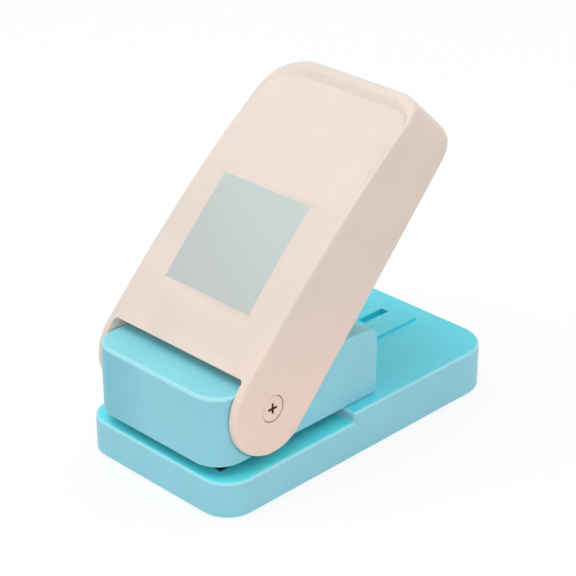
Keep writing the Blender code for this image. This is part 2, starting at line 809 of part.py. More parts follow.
def cheek_sweep():
    """Lowest and highest y, from the pivot, of the press cheeks where they pass the roof."""
    outline = press_cheek_outline()
    low_z = roof_under - pivot_height
    high_z = housing_top - pivot_height
    found = []
    for k in range(31):
        turn = rest_angle - press_angle * k / 30
        points = [(p.x * math.cos(turn) - p.y * math.sin(turn),
                   p.x * math.sin(turn) + p.y * math.cos(turn)) for p in outline]
        for (y0, z0), (y1, z1) in zip(points, points[1:] + points[:1]):
            for level in (low_z, high_z):
                if (z0 - level) * (z1 - level) < 0:
                    found.append(y0 + (y1 - y0) * (level - z0) / (z1 - z0))
            found += [y for y, z in ((y0, z0), (y1, z1)) if low_z <= z <= high_z]
    return min(found), max(found)


def housing_edge_share(middle):
    if abs(middle.z - housing_top) < weld_distance:
        return 1.0
    return 0.25


def make_housing():
    cheek = housing_half + cheek_stand
    corners = [(-cheek, housing_front, housing_corner), (cheek, housing_front, housing_corner),
               (cheek, housing_back, 0), (-cheek, housing_back, 0)]
    housing = slab("housing", [rounded(corners, 10)], housing_bottom, housing_top,
                   collection=parts)
    soften(housing, housing_round, housing_edge_share)

    room = arm_radius + cheek_gap
    pocket = arc(pivot_y, pivot_height, room, 90, 270, 32)
    pocket += [Vector((housing_back + overrun, pivot_height - room)),
               Vector((housing_back + overrun, pivot_height + room))]
    far = cheek + overrun
    cut(housing, slab("housing_pocket_right", [pocket], housing_half, far, side_frame),
        slab("housing_pocket_left", [pocket], -far, -housing_half, side_frame))

    corners = [(-inner_side, inner_front, inner_corner_radius),
               (inner_side, inner_front, inner_corner_radius),
               (inner_side, inner_back, 0), (-inner_side, inner_back, 0)]
    cut(housing, slab("housing_room", [rounded(corners)], housing_bottom - overrun, roof_under))

    sweep_low, sweep_high = cheek_sweep()
    opening_half = roller_width / 2 + roller_side_gap + press_cheek + axle_head_thickness
    opening_half += touch_gap + lever_side_gap
    cut(housing, block("housing_press_opening",
                       (-opening_half, pivot_y + sweep_low - touch_gap, roof_under - overrun),
                       (opening_half, pivot_y + sweep_high + touch_gap, housing_top + overrun)))

    boss_low = guide_top + touch_gap
    fuse(housing, rods("housing_frame_bosses", frame_screws, screw_boss_radius, boss_low,
                       roof_under + joint_bite, steps=16))
    fuse(housing, rods("housing_front_bosses", front_screws, small_boss_radius, boss_low,
                       roof_under + joint_bite, steps=16))
    boss_end = inner_side - pivot_boss_length
    for side, word in ((1, "right"), (-1, "left")):
        low, high = sorted((side * boss_end, side * (inner_side + joint_bite)))
        fuse(housing, rods(f"housing_pivot_boss_{word}", [(-pivot_height, pivot_y)],
                           pivot_boss_radius, low, high, along_x, 20))
    cut(housing, rods("housing_pivot_bore", [(-pivot_height, pivot_y)], bush_radius + slide_gap,
                      -far, far, along_x))
    cut(housing, rods("housing_frame_holes", frame_screws, screw_radius + screw_gap, 0,
                      boss_low + frame_screw_reach, steps=12))
    cut(housing, rods("housing_front_holes", front_screws, small_screw_radius + screw_gap, 0,
                      guide_under + guide_screw_length + touch_gap, steps=12))
    return dress(housing, blue)


def make_frame_screws():
    """Long screws from under the base through the guide plate into the housing."""
    seat = deck_height - deck_thickness - frame_boss_drop - touch_gap
    end = guide_top + frame_screw_reach
    under = seat - end
    profile = [(0, 0), (screw_radius, 0), (screw_radius, under), (screw_head_radius, under),
               (screw_head_radius, under - screw_head_height), (0, under - screw_head_height)]
    for k, (x, y) in enumerate(frame_screws):
        dress(turned(f"frame_screw_{k + 1}", profile, steps=12, place=(x, y, end)), screw_steel)


# Pivot pins and bushes

def make_pivot(side, word):
    outer = lever_half - pin_head_sink
    under = outer - pin_head_thickness
    shoulder_end = housing_half + slide_gap
    tip = shoulder_end - pin_thread_length
    edge = pin_head_round
    profile = [(0, outer), (pin_head_radius - edge, outer), (pin_head_radius, outer - edge),
               (pin_head_radius, under), (pin_shoulder_radius, under),
               (pin_shoulder_radius, shoulder_end), (pin_thread_radius, shoulder_end),
               (pin_thread_radius, tip), (0, tip)]
    pin = turned(f"pivot_pin_{word}", profile, steps=32, place=(0, pivot_y, pivot_height))
    pin.rotation_euler.y = side * math.pi / 2
    long, wide = cross_length / 2, cross_width / 2
    for name, x, y in (("upright", long, wide), ("level", wide, long)):
        groove = block(f"pivot_groove_{name}_{word}", (-x, -y, outer - cross_depth),
                       (x, y, outer + overrun))
        groove.location = pin.location
        groove.rotation_euler = pin.rotation_euler
        cut(pin, groove)
    dress(pin, cream)

    bore = pin_thread_radius + slide_gap
    start = shoulder_end - 2 * slide_gap
    rim = [(bush_radius, start), (bush_radius, start - bush_length), (bore, start - bush_length),
           (bore, start)]
    bush = turned(f"pivot_bush_{word}", rim, closed=True, steps=20,
                  place=(0, pivot_y, pivot_height))
    bush.rotation_euler.y = side * math.pi / 2
    dress(bush, brass)


# Lever, with its own frame: the pivot is the origin, Y runs along the underside

def crown_band(start, end, above, below, steps=12):
    """Outline that follows the lever's top between two stations."""
    stations = [start + (end - start) * k / steps for k in range(steps + 1)]
    upper = [Vector((s, crown(s) + above)) for s in stations]
    lower = [Vector((s, crown(s) - below)) for s in stations]
    return upper + lower[::-1]


def lever_edge_share(middle):
    if middle.z > 0:
        return 1.0
    front = max(0.0, -middle.y / arm_radius)
    return 0.4 + 0.6 * front * (1 + max(-1.0, middle.z / arm_radius))


def recess_cutter():
    """Loft whose floor sinks slowly below the crown and whose walls slope out to the rim."""
    outer_x = lever_half - recess_side_rim
    outer_end = lever_reach - recess_end_rim
    floor_x = outer_x - recess_side_slope
    floor_end = outer_end - recess_end_slope
    start = recess_start - recess_lead
    outer_corner = recess_corner + recess_side_slope

    def half_outline(x, end, radius):
        straight_end = end - radius
        sides = [(x, start + (straight_end - start) * k / 12) for k in range(13)]
        bend = arc(x - radius, straight_end, radius, 0, 90, 10)
        return sides + [(p.x, p.y) for p in bend[1:]]

    floor = half_outline(floor_x, floor_end, recess_corner)
    rim = half_outline(outer_x, outer_end, outer_corner)
    work = bmesh.new()
    rings = []
    for (fx, fy), (rx, ry) in zip(floor, rim):
        sink = recess_depth * (fy - recess_start) / (floor_end - recess_start)
        heights = [crown(ry) + overrun, crown(ry) + recess_float, crown(fy) - sink]
        xs = [rx, rx, fx]
        ys = [ry, ry, fy]
        right = [work.verts.new((x, y, z)) for x, y, z in zip(xs, ys, heights)]
        left = [work.verts.new((-x, y, z)) for x, y, z in zip(xs, ys, heights)]
        rings.append(right + left[::-1])
    for one, two in zip(rings, rings[1:]):
        for k in range(6):
            after = (k + 1) % 6
            work.faces.new((one[k], one[after], two[after], two[k]))
    work.faces.new(rings[0][::-1])
    work.faces.new(rings[-1])
    bmesh.ops.recalc_face_normals(work, faces=work.faces)
    mesh = bpy.data.meshes.new("lever_recess")
    work.to_mesh(mesh)
    work.free()
    return add_object("lever_recess", mesh, cutters, hinge_frame)


def make_lever():
    steps = 14
    profile = arc(0, 0, arm_radius, 270, 90, 28)
    profile += [Vector((lever_reach * k / steps, crown(lever_reach * k / steps)))
                for k in range(1, steps + 1)]
    heel = rounded([(lever_reach, 0, 0), (lever_reach, -arm_radius, lever_heel_radius),
                    (0, -arm_radius, 0)])
    profile += heel[1:-1]
    lever = slab("lever", [profile], -lever_half, lever_half, side_frame, parts, hinge_frame)
    low_end = -arm_radius - overrun
    high = arm_radius + overrun
    plan = rounded([(-lever_half, low_end, 0), (lever_half, low_end, 0),
                    (lever_half, lever_reach, lever_corner),
                    (-lever_half, lever_reach, lever_corner)], 10)
    combine(lever, slab("lever_plan", [plan], low_end, high, parent=hinge_frame), 'INTERSECT')
    soften(lever, lever_round, lever_edge_share)

    cut(lever, recess_cutter())
    wide = lever_half + overrun
    mouth = rounded([(-arm_half, low_end, 0), (arm_half, low_end, 0),
                     (arm_half, lip_setback, lip_corner), (-arm_half, lip_setback, lip_corner)])
    cut(lever, slab("lever_mouth", [mouth], low_end, high, parent=hinge_frame))

    far_in = lever_reach - lever_far_wall
    inside = crown_band(0, far_in, -lever_skin, 0, 14)[:15]
    inside += [Vector((far_in, low_end)), Vector((low_end, low_end)),
               Vector((low_end, crown(0) - lever_skin))]
    room = slab("lever_room", [inside], -wide, wide, side_frame, parent=hinge_frame)
    widen = (housing_back - pivot_y) + lever_round
    thin_half = lever_half - lever_thin_wall
    thin_corner = lever_corner - lever_thin_wall
    plan = rounded([(-arm_half, low_end - overrun, 0), (arm_half, low_end - overrun, 0),
                    (arm_half, widen, 0), (thin_half, widen + lever_thin_wall, 0),
                    (thin_half, far_in, thin_corner), (-thin_half, far_in, thin_corner),
                    (-thin_half, widen + lever_thin_wall, 0), (-arm_half, widen, 0)])
    room_plan = slab("lever_room_plan", [plan], low_end - overrun, high, parent=hinge_frame)
    combine(room, room_plan, 'INTERSECT')
    cut(lever, room)

    rib_start = widen + lever_thin_wall
    for side in (-1, 1):
        middle = side * lever_half / 2
        band = crown_band(rib_start, far_in + joint_bite, joint_bite - lever_skin,
                          lever_skin + lever_rib_depth)
        fuse(lever, slab(f"lever_long_rib_{'right' if side > 0 else 'left'}", [band],
                         middle - lever_rib / 2, middle + lever_rib / 2, side_frame,
                         parent=hinge_frame))
    for k in range(2):
        station = rib_start + (far_in - rib_start) * k / 2
        band = crown_band(station, station + lever_rib, joint_bite - lever_skin,
                          lever_skin + lever_rib_depth, 1)
        fuse(lever, slab(f"lever_cross_rib_{k}", [band], -thin_half - joint_bite,
                         thin_half + joint_bite, side_frame, parent=hinge_frame))

    inner = roller_width / 2 + roller_side_gap
    for side, word in ((1, "right"), (-1, "left")):
        low, top = sorted((side * inner, side * (inner + press_cheek)))
        fuse(lever, slab(f"lever_press_cheek_{word}", [press_cheek_outline()], low, top,
                         side_frame, parent=hinge_frame))
    axle_hole = rods("lever_axle_hole", [(-roller_local.z, roller_local.y)],
                     axle_radius + slide_gap, -arm_half + lever_skin, arm_half - lever_skin,
                     along_x, 16, parent=hinge_frame)
    pin_hole = rods("lever_pin_hole", [(0, 0)], pin_shoulder_radius + slide_gap, -wide, wide,
                    along_x, 40, parent=hinge_frame)
    cut(lever, axle_hole, pin_hole)
    sink_floor = lever_half - pin_head_sink - pin_head_thickness - touch_gap
    for side, word in ((1, "right"), (-1, "left")):
        low, top = sorted((side * sink_floor, side * wide))
        cut(lever, rods(f"lever_pin_sink_{word}", [(0, 0)], pin_head_radius + pin_head_gap, low,
                        top, along_x, 40, parent=hinge_frame))

    label_gap = slide_gap
    pocket = crown_band(label_start - label_gap, label_start + label_length + label_gap, overrun,
                        label_thickness + touch_gap)
    half = label_width / 2 + label_gap
    cut(lever, slab("lever_label_seat", [pocket], -half, half, side_frame, parent=hinge_frame))
    return dress(lever, cream)


def make_label():
    band = crown_band(label_start, label_start + label_length, 0, label_thickness)
    label = slab("label_square", [band], -label_width / 2, label_width / 2, side_frame, parts,
                 hinge_frame)
    return dress(label, square_grey)


# Roller and axle

def make_roller():
    spin_frame = new_frame("roller_spin", roller_local, parent=hinge_frame)
    half = roller_width / 2
    bore = axle_radius + slide_gap
    edge = roller_radius / 8
    profile = [(bore, half), (roller_radius - edge, half), (roller_radius, half - edge),
               (roller_radius, edge - half), (roller_radius - edge, -half), (bore, -half)]
    roller = turned("press_roller", profile, closed=True, steps=28, parent=spin_frame)
    roller.rotation_euler.y = math.pi / 2
    dress(roller, steel)

    end = half + roller_side_gap + press_cheek + touch_gap
    profile = [(0, end + axle_head_thickness), (axle_head_radius, end + axle_head_thickness),
               (axle_head_radius, end), (axle_radius, end), (axle_radius, -end), (0, -end)]
    axle = turned("roller_axle", profile, steps=16, parent=hinge_frame, place=roller_local)
    axle.rotation_euler.y = math.pi / 2
    dress(axle, screw_steel)


# Carrier, measured from the press line

def make_carrier():
    half = tool_outer + carrier_margin
    back = tool_back + carrier_margin
    tongue_end = rear_spring_back + tower_radius
    corner = carrier_corner
    corners = [(-half, -carrier_front, corner), (half, -carrier_front, corner),
               (half, back, corner), (tongue_half_width, back, corner),
               (tongue_half_width, tongue_end, corner), (-tongue_half_width, tongue_end, corner),
               (-tongue_half_width, back, corner), (-half, back, corner)]
    carrier = slab("punch_carrier", [rounded(corners, 5)], carrier_under, carrier_top,
                   collection=parts, parent=slide_frame)
    bore = tower_radius - tower_wall
    ceiling = tower_top - tower_ceiling
    fuse(carrier, rods("carrier_towers", spring_places, tower_radius, carrier_under + joint_bite,
                       tower_top, parent=slide_frame))
    cut(carrier, rods("carrier_spring_bores", spring_places, bore, carrier_under - overrun,
                      ceiling, steps=20, parent=slide_frame))
    cut(carrier, rods("carrier_pin_bores", spring_places, guide_pin_radius + guide_pin_play,
                      ceiling - overrun, tower_top + overrun, steps=16, parent=slide_frame))
    seat = block("carrier_wear_seat",
                 (-wear_width / 2 - slide_gap, -wear_length / 2 - slide_gap,
                  wear_under - touch_gap),
                 (wear_width / 2 + slide_gap, wear_length / 2 + slide_gap, carrier_top + overrun),
                 parent=slide_frame)
    cut(carrier, seat)
    hole_place = [(0, tag_end - hole_inset)]
    head_low = wear_under - 2 * touch_gap - punch_pin_head - touch_gap
    cut(carrier, rods("carrier_punch_bore", hole_place, hole_radius + slide_gap,
                      carrier_under - overrun, carrier_top, parent=slide_frame))
    cut(carrier, rods("carrier_punch_head_bore", hole_place, punch_pin_head_radius + slide_gap,
                      head_low, carrier_top, parent=slide_frame))
    for k, (x, y) in enumerate(cutter_screw_places()):
        cut_screw_seat(carrier, f"carrier_screw_seat_{k}", (x, y, carrier_top),
                       carrier_thickness, parent=slide_frame)
    return dress(carrier, cast_zinc)


def cutter_screw_places():
    """Middle of the largest circle inside each corner tool."""
    inset = tool_leg / (2 + math.sqrt(2))
    return [(side * (tool_outer - inset), tool_back - inset) for side in (-1, 1)]


def make_wear_plate():
    wear = block("wear_plate", (-wear_width / 2, -wear_length / 2, wear_under),
                 (wear_width / 2, wear_length / 2, wear_top), parts, slide_frame)
    bevel = wear.modifiers.new("rounding", 'BEVEL')
    bevel.width = touch_gap
    bevel.segments = 2
    return dress(wear, steel)


def make_corner_tools():
    top = carrier_under - touch_gap
    for side, word in ((1, "right"), (-1, "left")):
        tool = slab(f"corner_cutter_{word}", [corner_tool(side, 0)], cutter_under, top,
                    collection=parts, parent=slide_frame)
        wedge = [(tool_back + overrun, cutter_under - overrun),
                 (tool_back - tool_leg - overrun, cutter_under - overrun),
                 (tool_back - tool_leg - overrun, cutter_under),
                 (tool_back + overrun, cutter_under + shear_rise)]
        cut(tool, slab(f"cutter_shear_{word}", [wedge], -half_width, half_width, side_frame,
                       parent=slide_frame))
        place = [cutter_screw_places()[1 if side > 0 else 0]]
        cut(tool, rods(f"cutter_screw_hole_{word}", place, small_screw_radius + screw_gap,
                       carrier_top - cutter_screw_length - touch_gap, top + overrun, steps=12,
                       parent=slide_frame))
        dress(tool, steel)
    make_small_screws("cutter_screw", cutter_screw_places(), cutter_screw_length, carrier_top,
                      parent=slide_frame)


def make_hole_pin():
    head_top = wear_under - 2 * touch_gap
    head_low = head_top - punch_pin_head
    tip = cutter_under - punch_pin_lead
    profile = [(0, head_top), (punch_pin_head_radius, head_top), (punch_pin_head_radius, head_low),
               (hole_radius, head_low), (hole_radius, tip), (0, tip)]
    pin = turned("hole_pin", [(r, z) for r, z in profile], steps=32, parent=slide_frame,
                 place=(0, tag_end - hole_inset, 0))
    notch = [(-hole_radius - overrun, tip - overrun), (hole_radius + overrun, tip - overrun),
             (0, tip + punch_pin_notch)]
    groove = slab("hole_pin_notch", [notch], -hole_radius - overrun, hole_radius + overrun,
                  side_frame, parent=slide_frame)
    groove.location = (0, tag_end - hole_inset, 0)
    cut(pin, groove)
    return dress(pin, steel)


# Guide pins and springs

def make_guide_pins():
    low = guide_under + guide_pin_sink
    flange_low = guide_top + touch_gap
    flange_high = flange_low + guide_pin_flange
    top = tower_top - guide_pin_sink
    r = guide_pin_radius
    profile = [(0, top), (r - guide_pin_chamfer, top), (r, top - guide_pin_chamfer),
               (r, flange_high), (guide_pin_flange_radius, flange_high),
               (guide_pin_flange_radius, flange_low), (r, flange_low), (r, low), (0, low)]
    for name, (x, y) in zip(spring_names, spring_places):
        dress(turned(f"guide_pin_{name}", profile, steps=16, place=(x, y + press_y, 0)), steel)


def spring_points():
    """Middle line of the wire: close turns at both ends and even ones between."""
    low = spring_low + spring_wire
    high = spring_high - spring_wire
    per_turn = 8
    count = spring_turns * per_turn
    open_pitch = (high - low - 2 * spring_end_pitch) / (spring_turns - 2)
    points = []
    for k in range(count + 1):
        turn = k / per_turn
        if turn <= 1:
            z = low + spring_end_pitch * turn
        elif turn >= spring_turns - 1:
            z = high - spring_end_pitch * (spring_turns - turn)
        else:
            z = low + spring_end_pitch + open_pitch * (turn - 1)
        angle = 2 * math.pi * turn
        points.append(Vector((spring_radius * math.cos(angle), spring_radius * math.sin(angle), z)))
    return points, per_turn


def least_turn_gap(points, per_turn):
    """Smallest free space between one turn of the wire and the next."""
    least = min((a - b).length for i, a in enumerate(points)
                for b in points[i + per_turn // 2:])
    return least - 2 * spring_wire


def make_springs():
    points, per_turn = spring_points()
    gap_mm = least_turn_gap(points, per_turn) / mm
    print(f"return springs: least gap between turns {gap_mm:.2f} mm")
    curve = bpy.data.curves.new("spring_wire_line", 'CURVE')
    curve.dimensions = '3D'
    curve.bevel_depth = spring_wire
    curve.bevel_resolution = 1
    curve.use_fill_caps = True
    spline = curve.splines.new('POLY')
    spline.points.add(len(points) - 1)
    for point, place in zip(spline.points, points):
        point.co = (*place, 1)
    for name, (x, y) in zip(spring_names, spring_places):
        line = add_object("spring_line", curve, cutters)
        mesh = evaluated_mesh(line)
        bpy.data.objects.remove(line, do_unlink=True)
        work = bmesh.new()
        work.from_mesh(mesh)
        bmesh.ops.remove_doubles(work, verts=work.verts, dist=weld_distance)
        bmesh.ops.recalc_face_normals(work, faces=work.faces)
        work.to_mesh(mesh)
        work.free()
        spring = add_object(f"return_spring_{name}", mesh, parts)
        spring.location = (x, y + press_y, 0)
        dress(spring, spring_steel)


make_base()
make_cover()
make_feet()
make_die_plate()
make_small_screws("die_screw", die_screws, small_screw_length, die_top)
make_paper_guide()
make_guide_plate()
make_small_screws("guide_screw", front_screws, guide_screw_length, guide_under, True)
make_housing()
make_frame_screws()
make_pivot(1, "right")
make_pivot(-1, "left")
make_lever()
make_label()
make_roller()
make_carrier()
make_wear_plate()
make_corner_tools()
make_hole_pin()
make_guide_pins()
make_springs()
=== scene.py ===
import json
import math

import bmesh
import bpy
from mathutils import Matrix, Vector

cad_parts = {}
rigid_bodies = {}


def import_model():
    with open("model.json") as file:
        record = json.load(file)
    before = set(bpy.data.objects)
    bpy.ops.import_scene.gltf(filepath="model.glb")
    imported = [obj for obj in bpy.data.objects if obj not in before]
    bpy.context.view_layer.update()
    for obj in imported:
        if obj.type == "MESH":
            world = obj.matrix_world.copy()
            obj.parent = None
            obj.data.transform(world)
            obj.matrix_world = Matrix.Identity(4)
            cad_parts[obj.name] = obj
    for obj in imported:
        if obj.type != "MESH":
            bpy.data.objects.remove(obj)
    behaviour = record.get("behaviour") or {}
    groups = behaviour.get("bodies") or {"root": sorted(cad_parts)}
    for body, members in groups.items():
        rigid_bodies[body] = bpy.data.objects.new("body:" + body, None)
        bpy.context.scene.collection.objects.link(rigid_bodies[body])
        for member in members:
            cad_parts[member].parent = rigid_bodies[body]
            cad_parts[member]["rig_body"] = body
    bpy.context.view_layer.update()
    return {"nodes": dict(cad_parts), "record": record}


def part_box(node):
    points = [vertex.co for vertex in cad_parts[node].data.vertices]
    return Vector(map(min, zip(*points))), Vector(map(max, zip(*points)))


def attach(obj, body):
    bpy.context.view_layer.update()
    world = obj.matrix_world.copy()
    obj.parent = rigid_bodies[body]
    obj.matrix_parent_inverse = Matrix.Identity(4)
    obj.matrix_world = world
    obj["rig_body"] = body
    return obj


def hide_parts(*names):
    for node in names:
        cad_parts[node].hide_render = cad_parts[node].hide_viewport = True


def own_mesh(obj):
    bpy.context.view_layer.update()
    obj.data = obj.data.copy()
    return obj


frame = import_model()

mm = 0.001
nodes = frame["nodes"]
scene = bpy.context.scene
weldDistance = 0.002 * mm  # corners of loose triangles that lie closer are merged
cutTolerance = 0.001  # mm, for cuts made in millimetres
flatAngle = math.radians(0.4)  # faces that turn by less are joined
sharpAngle = math.radians(38)  # edges that turn by more are rounded and stay sharp in the shading
leverSharpAngle = math.radians(24)  # the same for the lever's shading, so that its recess keeps a rim
roundSegments = 2


# Camera, matched to the photograph, with its places in millimetres

photoCamera = {"place": (404.44, -408.07, 341.48), "target": (-14.87, 11.84, 37.71), "lens": 123.0,
               "sensor": 36.0, "nearest": 10.0, "furthest": 20000.0}


def addCamera(setup):
    data = bpy.data.cameras.new("photoCamera")
    data.lens = setup["lens"]
    data.sensor_width = setup["sensor"]
    data.clip_start = setup["nearest"] * mm
    data.clip_end = setup["furthest"] * mm
    camera = bpy.data.objects.new("photoCamera", data)
    scene.collection.objects.link(camera)
    place = Vector(setup["place"]) * mm
    target = Vector(setup["target"]) * mm
    camera.location = place
    camera.rotation_mode = 'QUATERNION'
    camera.rotation_quaternion = (target - place).to_track_quat('-Z', 'Y')
    scene.camera = camera
    print("camera", round((target - place).length, 3), "m from its target")


addCamera(photoCamera)


# Node helpers

def newTree(material):
    material.use_nodes = True
    tree = material.node_tree
    tree.nodes.clear()
    return tree


def addNode(tree, kind, values=None, **settings):
    node = tree.nodes.new(kind)
    for name, value in settings.items():
        setattr(node, name, value)
    for name, value in (values or {}).items():
        node.inputs[name].default_value = value
    return node


def feed(tree, socket, value):
    if hasattr(value, "is_output"):
        tree.links.new(value, socket)
    else:
        socket.default_value = value


def addMath(tree, operation, first, second, clamp=False):
    node = addNode(tree, "ShaderNodeMath", operation=operation, use_clamp=clamp)
    feed(tree, node.inputs[0], first)
    feed(tree, node.inputs[1], second)
    return node.outputs[0]


def mixColours(tree, factor, first, second):
    mix = addNode(tree, "ShaderNodeMix", data_type='RGBA')
    feed(tree, mix.inputs["Factor"], factor)
    feed(tree, mix.inputs["A"], first)
    feed(tree, mix.inputs["B"], second)
    return mix.outputs["Result"]


def addRamp(tree, source, stops):
    node = tree.nodes.new("ShaderNodeValToRGB")
    elements = node.color_ramp.elements
    while len(elements) < len(stops):
        elements.new(0.5)  # its place is set below
    for element, (place, colour) in zip(elements, stops):
        element.position = place
        element.color = (*colour, 1)
    tree.links.new(source, node.inputs["Fac"])
    return node.outputs["Color"]


def scaledColour(colour, factor):
    return tuple(min(1.0, channel * factor) for channel in colour)


def toneRamp(tree, source, colour, stops, deep, light):
    return addRamp(tree, source, [(stops[0], scaledColour(colour, deep)),
                                  (stops[1], scaledColour(colour, light))])


def newGroup(name, inputs, outputs):
    group = bpy.data.node_groups.new(name, "ShaderNodeTree")
    for label, kind, value in inputs:
        socket = group.interface.new_socket(label, in_out='INPUT', socket_type=kind)
        if value is not None:
            socket.default_value = value
    for label, kind in outputs:
        group.interface.new_socket(label, in_out='OUTPUT', socket_type=kind)
    start = group.nodes.new("NodeGroupInput")
    end = group.nodes.new("NodeGroupOutput")
    return group, start, end


# Fine grain of a moulded skin: a height for the bump, a small spread in roughness and a slow flow
# for the colour. Noise lies about its middle value, and the flow counts for more than the grain.

noiseMiddle = 0.5
flowWeight = 2.0


def buildSkinGrain():
    group, start, end = newGroup(
        "skinGrain",
        [("Vector", 'NodeSocketVector', None), ("Grain Scale", 'NodeSocketFloat', 2600.0),
         ("Flow Scale", 'NodeSocketFloat', 60.0), ("Roughness", 'NodeSocketFloat', 0.45),
         ("Spread", 'NodeSocketFloat', 0.06)],
        [("Height", 'NodeSocketFloat'), ("Roughness", 'NodeSocketFloat'),
         ("Flow", 'NodeSocketFloat')])
    grain = addNode(group, "ShaderNodeTexNoise", {"Detail": 2.0, "Roughness": 0.55})
    flow = addNode(group, "ShaderNodeTexNoise", {"Detail": 3.0, "Roughness": 0.5})
    link = group.links.new
    link(start.outputs["Vector"], grain.inputs["Vector"])
    link(start.outputs["Vector"], flow.inputs["Vector"])
    link(start.outputs["Grain Scale"], grain.inputs["Scale"])
    link(start.outputs["Flow Scale"], flow.inputs["Scale"])
    shift = addMath(group, 'SUBTRACT', flow.outputs["Fac"], noiseMiddle)
    fine = addMath(group, 'SUBTRACT', grain.outputs["Fac"], noiseMiddle)
    both = addMath(group, 'ADD', addMath(group, 'MULTIPLY', shift, flowWeight), fine)
    spread = addMath(group, 'MULTIPLY', both, start.outputs["Spread"])
    rough = addMath(group, 'ADD', start.outputs["Roughness"], spread, clamp=True)
    link(grain.outputs["Fac"], end.inputs["Height"])
    link(rough, end.inputs["Roughness"])
    link(flow.outputs["Fac"], end.inputs["Flow"])
    return group


# Fine dust that settles on what faces up, thin and patchy

def buildDust():
    group, start, end = newGroup(
        "restingDust",
        [("Vector", 'NodeSocketVector', None), ("Scale", 'NodeSocketFloat', 420.0),
         ("Amount", 'NodeSocketFloat', 0.05)],
        [("Mask", 'NodeSocketFloat')])
    link = group.links.new
    geometry = addNode(group, "ShaderNodeNewGeometry")
    split = addNode(group, "ShaderNodeSeparateXYZ")
    link(geometry.outputs["Normal"], split.inputs[0])
    facing = addMath(group, 'MULTIPLY', split.outputs["Z"], 1.0, clamp=True)
    speck = addNode(group, "ShaderNodeTexNoise", {"Detail": 4.0, "Roughness": 0.7})
    link(start.outputs["Vector"], speck.inputs["Vector"])
    link(start.outputs["Scale"], speck.inputs["Scale"])
    patch = addNode(group, "ShaderNodeMapRange", {"From Min": 0.48, "From Max": 0.78})
    link(speck.outputs["Fac"], patch.inputs["Value"])
    mask = addMath(group, 'MULTIPLY', facing, patch.outputs["Result"])
    link(addMath(group, 'MULTIPLY', mask, start.outputs["Amount"]), end.inputs["Mask"])
    return group


# Drawn or ground metal: fine lines along one axis, or an even grain where the stretch is equal

def buildGroundLines():
    group, start, end = newGroup(
        "groundLines",
        [("Vector", 'NodeSocketVector', None), ("Stretch", 'NodeSocketVector', (40.0, 3000.0, 3000.0)),
         ("Roughness", 'NodeSocketFloat', 0.3), ("Spread", 'NodeSocketFloat', 0.1)],
        [("Height", 'NodeSocketFloat'), ("Roughness", 'NodeSocketFloat')])
    link = group.links.new
    scaled = addNode(group, "ShaderNodeVectorMath", operation='MULTIPLY')
    link(start.outputs["Vector"], scaled.inputs[0])
    link(start.outputs["Stretch"], scaled.inputs[1])
    lines = addNode(group, "ShaderNodeTexNoise", {"Scale": 1.0, "Detail": 3.0, "Roughness": 0.6})
    link(scaled.outputs["Vector"], lines.inputs["Vector"])
    shift = addMath(group, 'SUBTRACT', lines.outputs["Fac"], noiseMiddle)
    spread = addMath(group, 'MULTIPLY', shift, start.outputs["Spread"])
    rough = addMath(group, 'ADD', start.outputs["Roughness"], spread, clamp=True)
    link(rough, end.inputs["Roughness"])
    link(lines.outputs["Fac"], end.inputs["Height"])
    return group


skinGrain = buildSkinGrain()
restingDust = buildDust()
groundLines = buildGroundLines()
print("shader groups built")


def groupNode(tree, group, vector, values):
    node = tree.nodes.new("ShaderNodeGroup")
    node.node_tree = group
    tree.links.new(vector, node.inputs["Vector"])
    for name, value in values.items():
        node.inputs[name].default_value = value
    return node


# Moulded plastics. Grain, depth and the places from and to are in millimetres. A painted shading colour
# takes over along a direction, a painted top light on faces that look up, and a painted bounce light in
# the shade on faces that look down and on level ones below innerTop.

# Painted shade: the housing's blue darkens towards its left side. Its upper colour is a painted top
# light, its edge colour a painted highlight and its inner colour a painted bounce light in the shade.
bluePlastic = {"name": "bluePlastic", "colour": (0.28, 0.67, 0.79), "upper": (0.25, 0.71, 0.82),
               "inner": (0.10, 0.85, 1.0), "innerTop": 0.0, "edge": (0.46, 0.82, 0.90),
               "paintedShadingColour": (0.197, 0.571, 0.688), "across": (-1.0, 0.0, 0.0),
               "from": 0.0, "to": 20.0,
               "roughness": 0.4, "deep": 0.97, "light": 1.03, "grain": 0.012, "dust": 0.03,
               "subsurface": 0.2, "radius": (0.3, 0.9, 1.0), "depth": 1.6}
# Painted light on the base as on the housing: upper is a painted top light, edge a painted highlight,
# and inner a painted bounce light in the shade on faces that look down and on level faces below
# innerTop.
baseBlue = {"name": "baseBlue", "colour": (0.29, 0.67, 0.79), "upper": (0.12, 0.76, 0.90),
            "inner": (0.14, 0.9, 1.0), "innerTop": 14.0, "edge": (0.46, 0.82, 0.90),
            "roughness": 0.4, "deep": 0.97, "light": 1.03, "grain": 0.012, "dust": 0.03,
            "subsurface": 0.2, "radius": (0.3, 0.9, 1.0), "depth": 1.6}
# Painted light: the cream turns lighter and warmer towards the lever's lower right
creamPlastic = {"name": "creamPlastic", "colour": (0.80, 0.69, 0.615), "roughness": 0.44,
                "paintedShadingColour": (0.93, 0.715, 0.62), "across": (1.0, 0.0, -1.0),
                "from": -35.0, "to": 5.0,
                "deep": 0.975, "light": 1.02, "grain": 0.012, "dust": 0.03,
                "subsurface": 0.12, "radius": (1.0, 0.62, 0.45), "depth": 1.4}
# Painted shade: a deeper, saturated blue for the slot's walls and the tongue's right side
slotShadeBlue = {"name": "slotShadeBlue", "colour": (0.05, 0.74, 0.85), "roughness": 0.45,
            "deep": 0.97, "light": 1.03, "grain": 0.012, "dust": 0.0, "subsurface": 0.0,
            "radius": (0.3, 0.9, 1.0), "depth": 0.5}
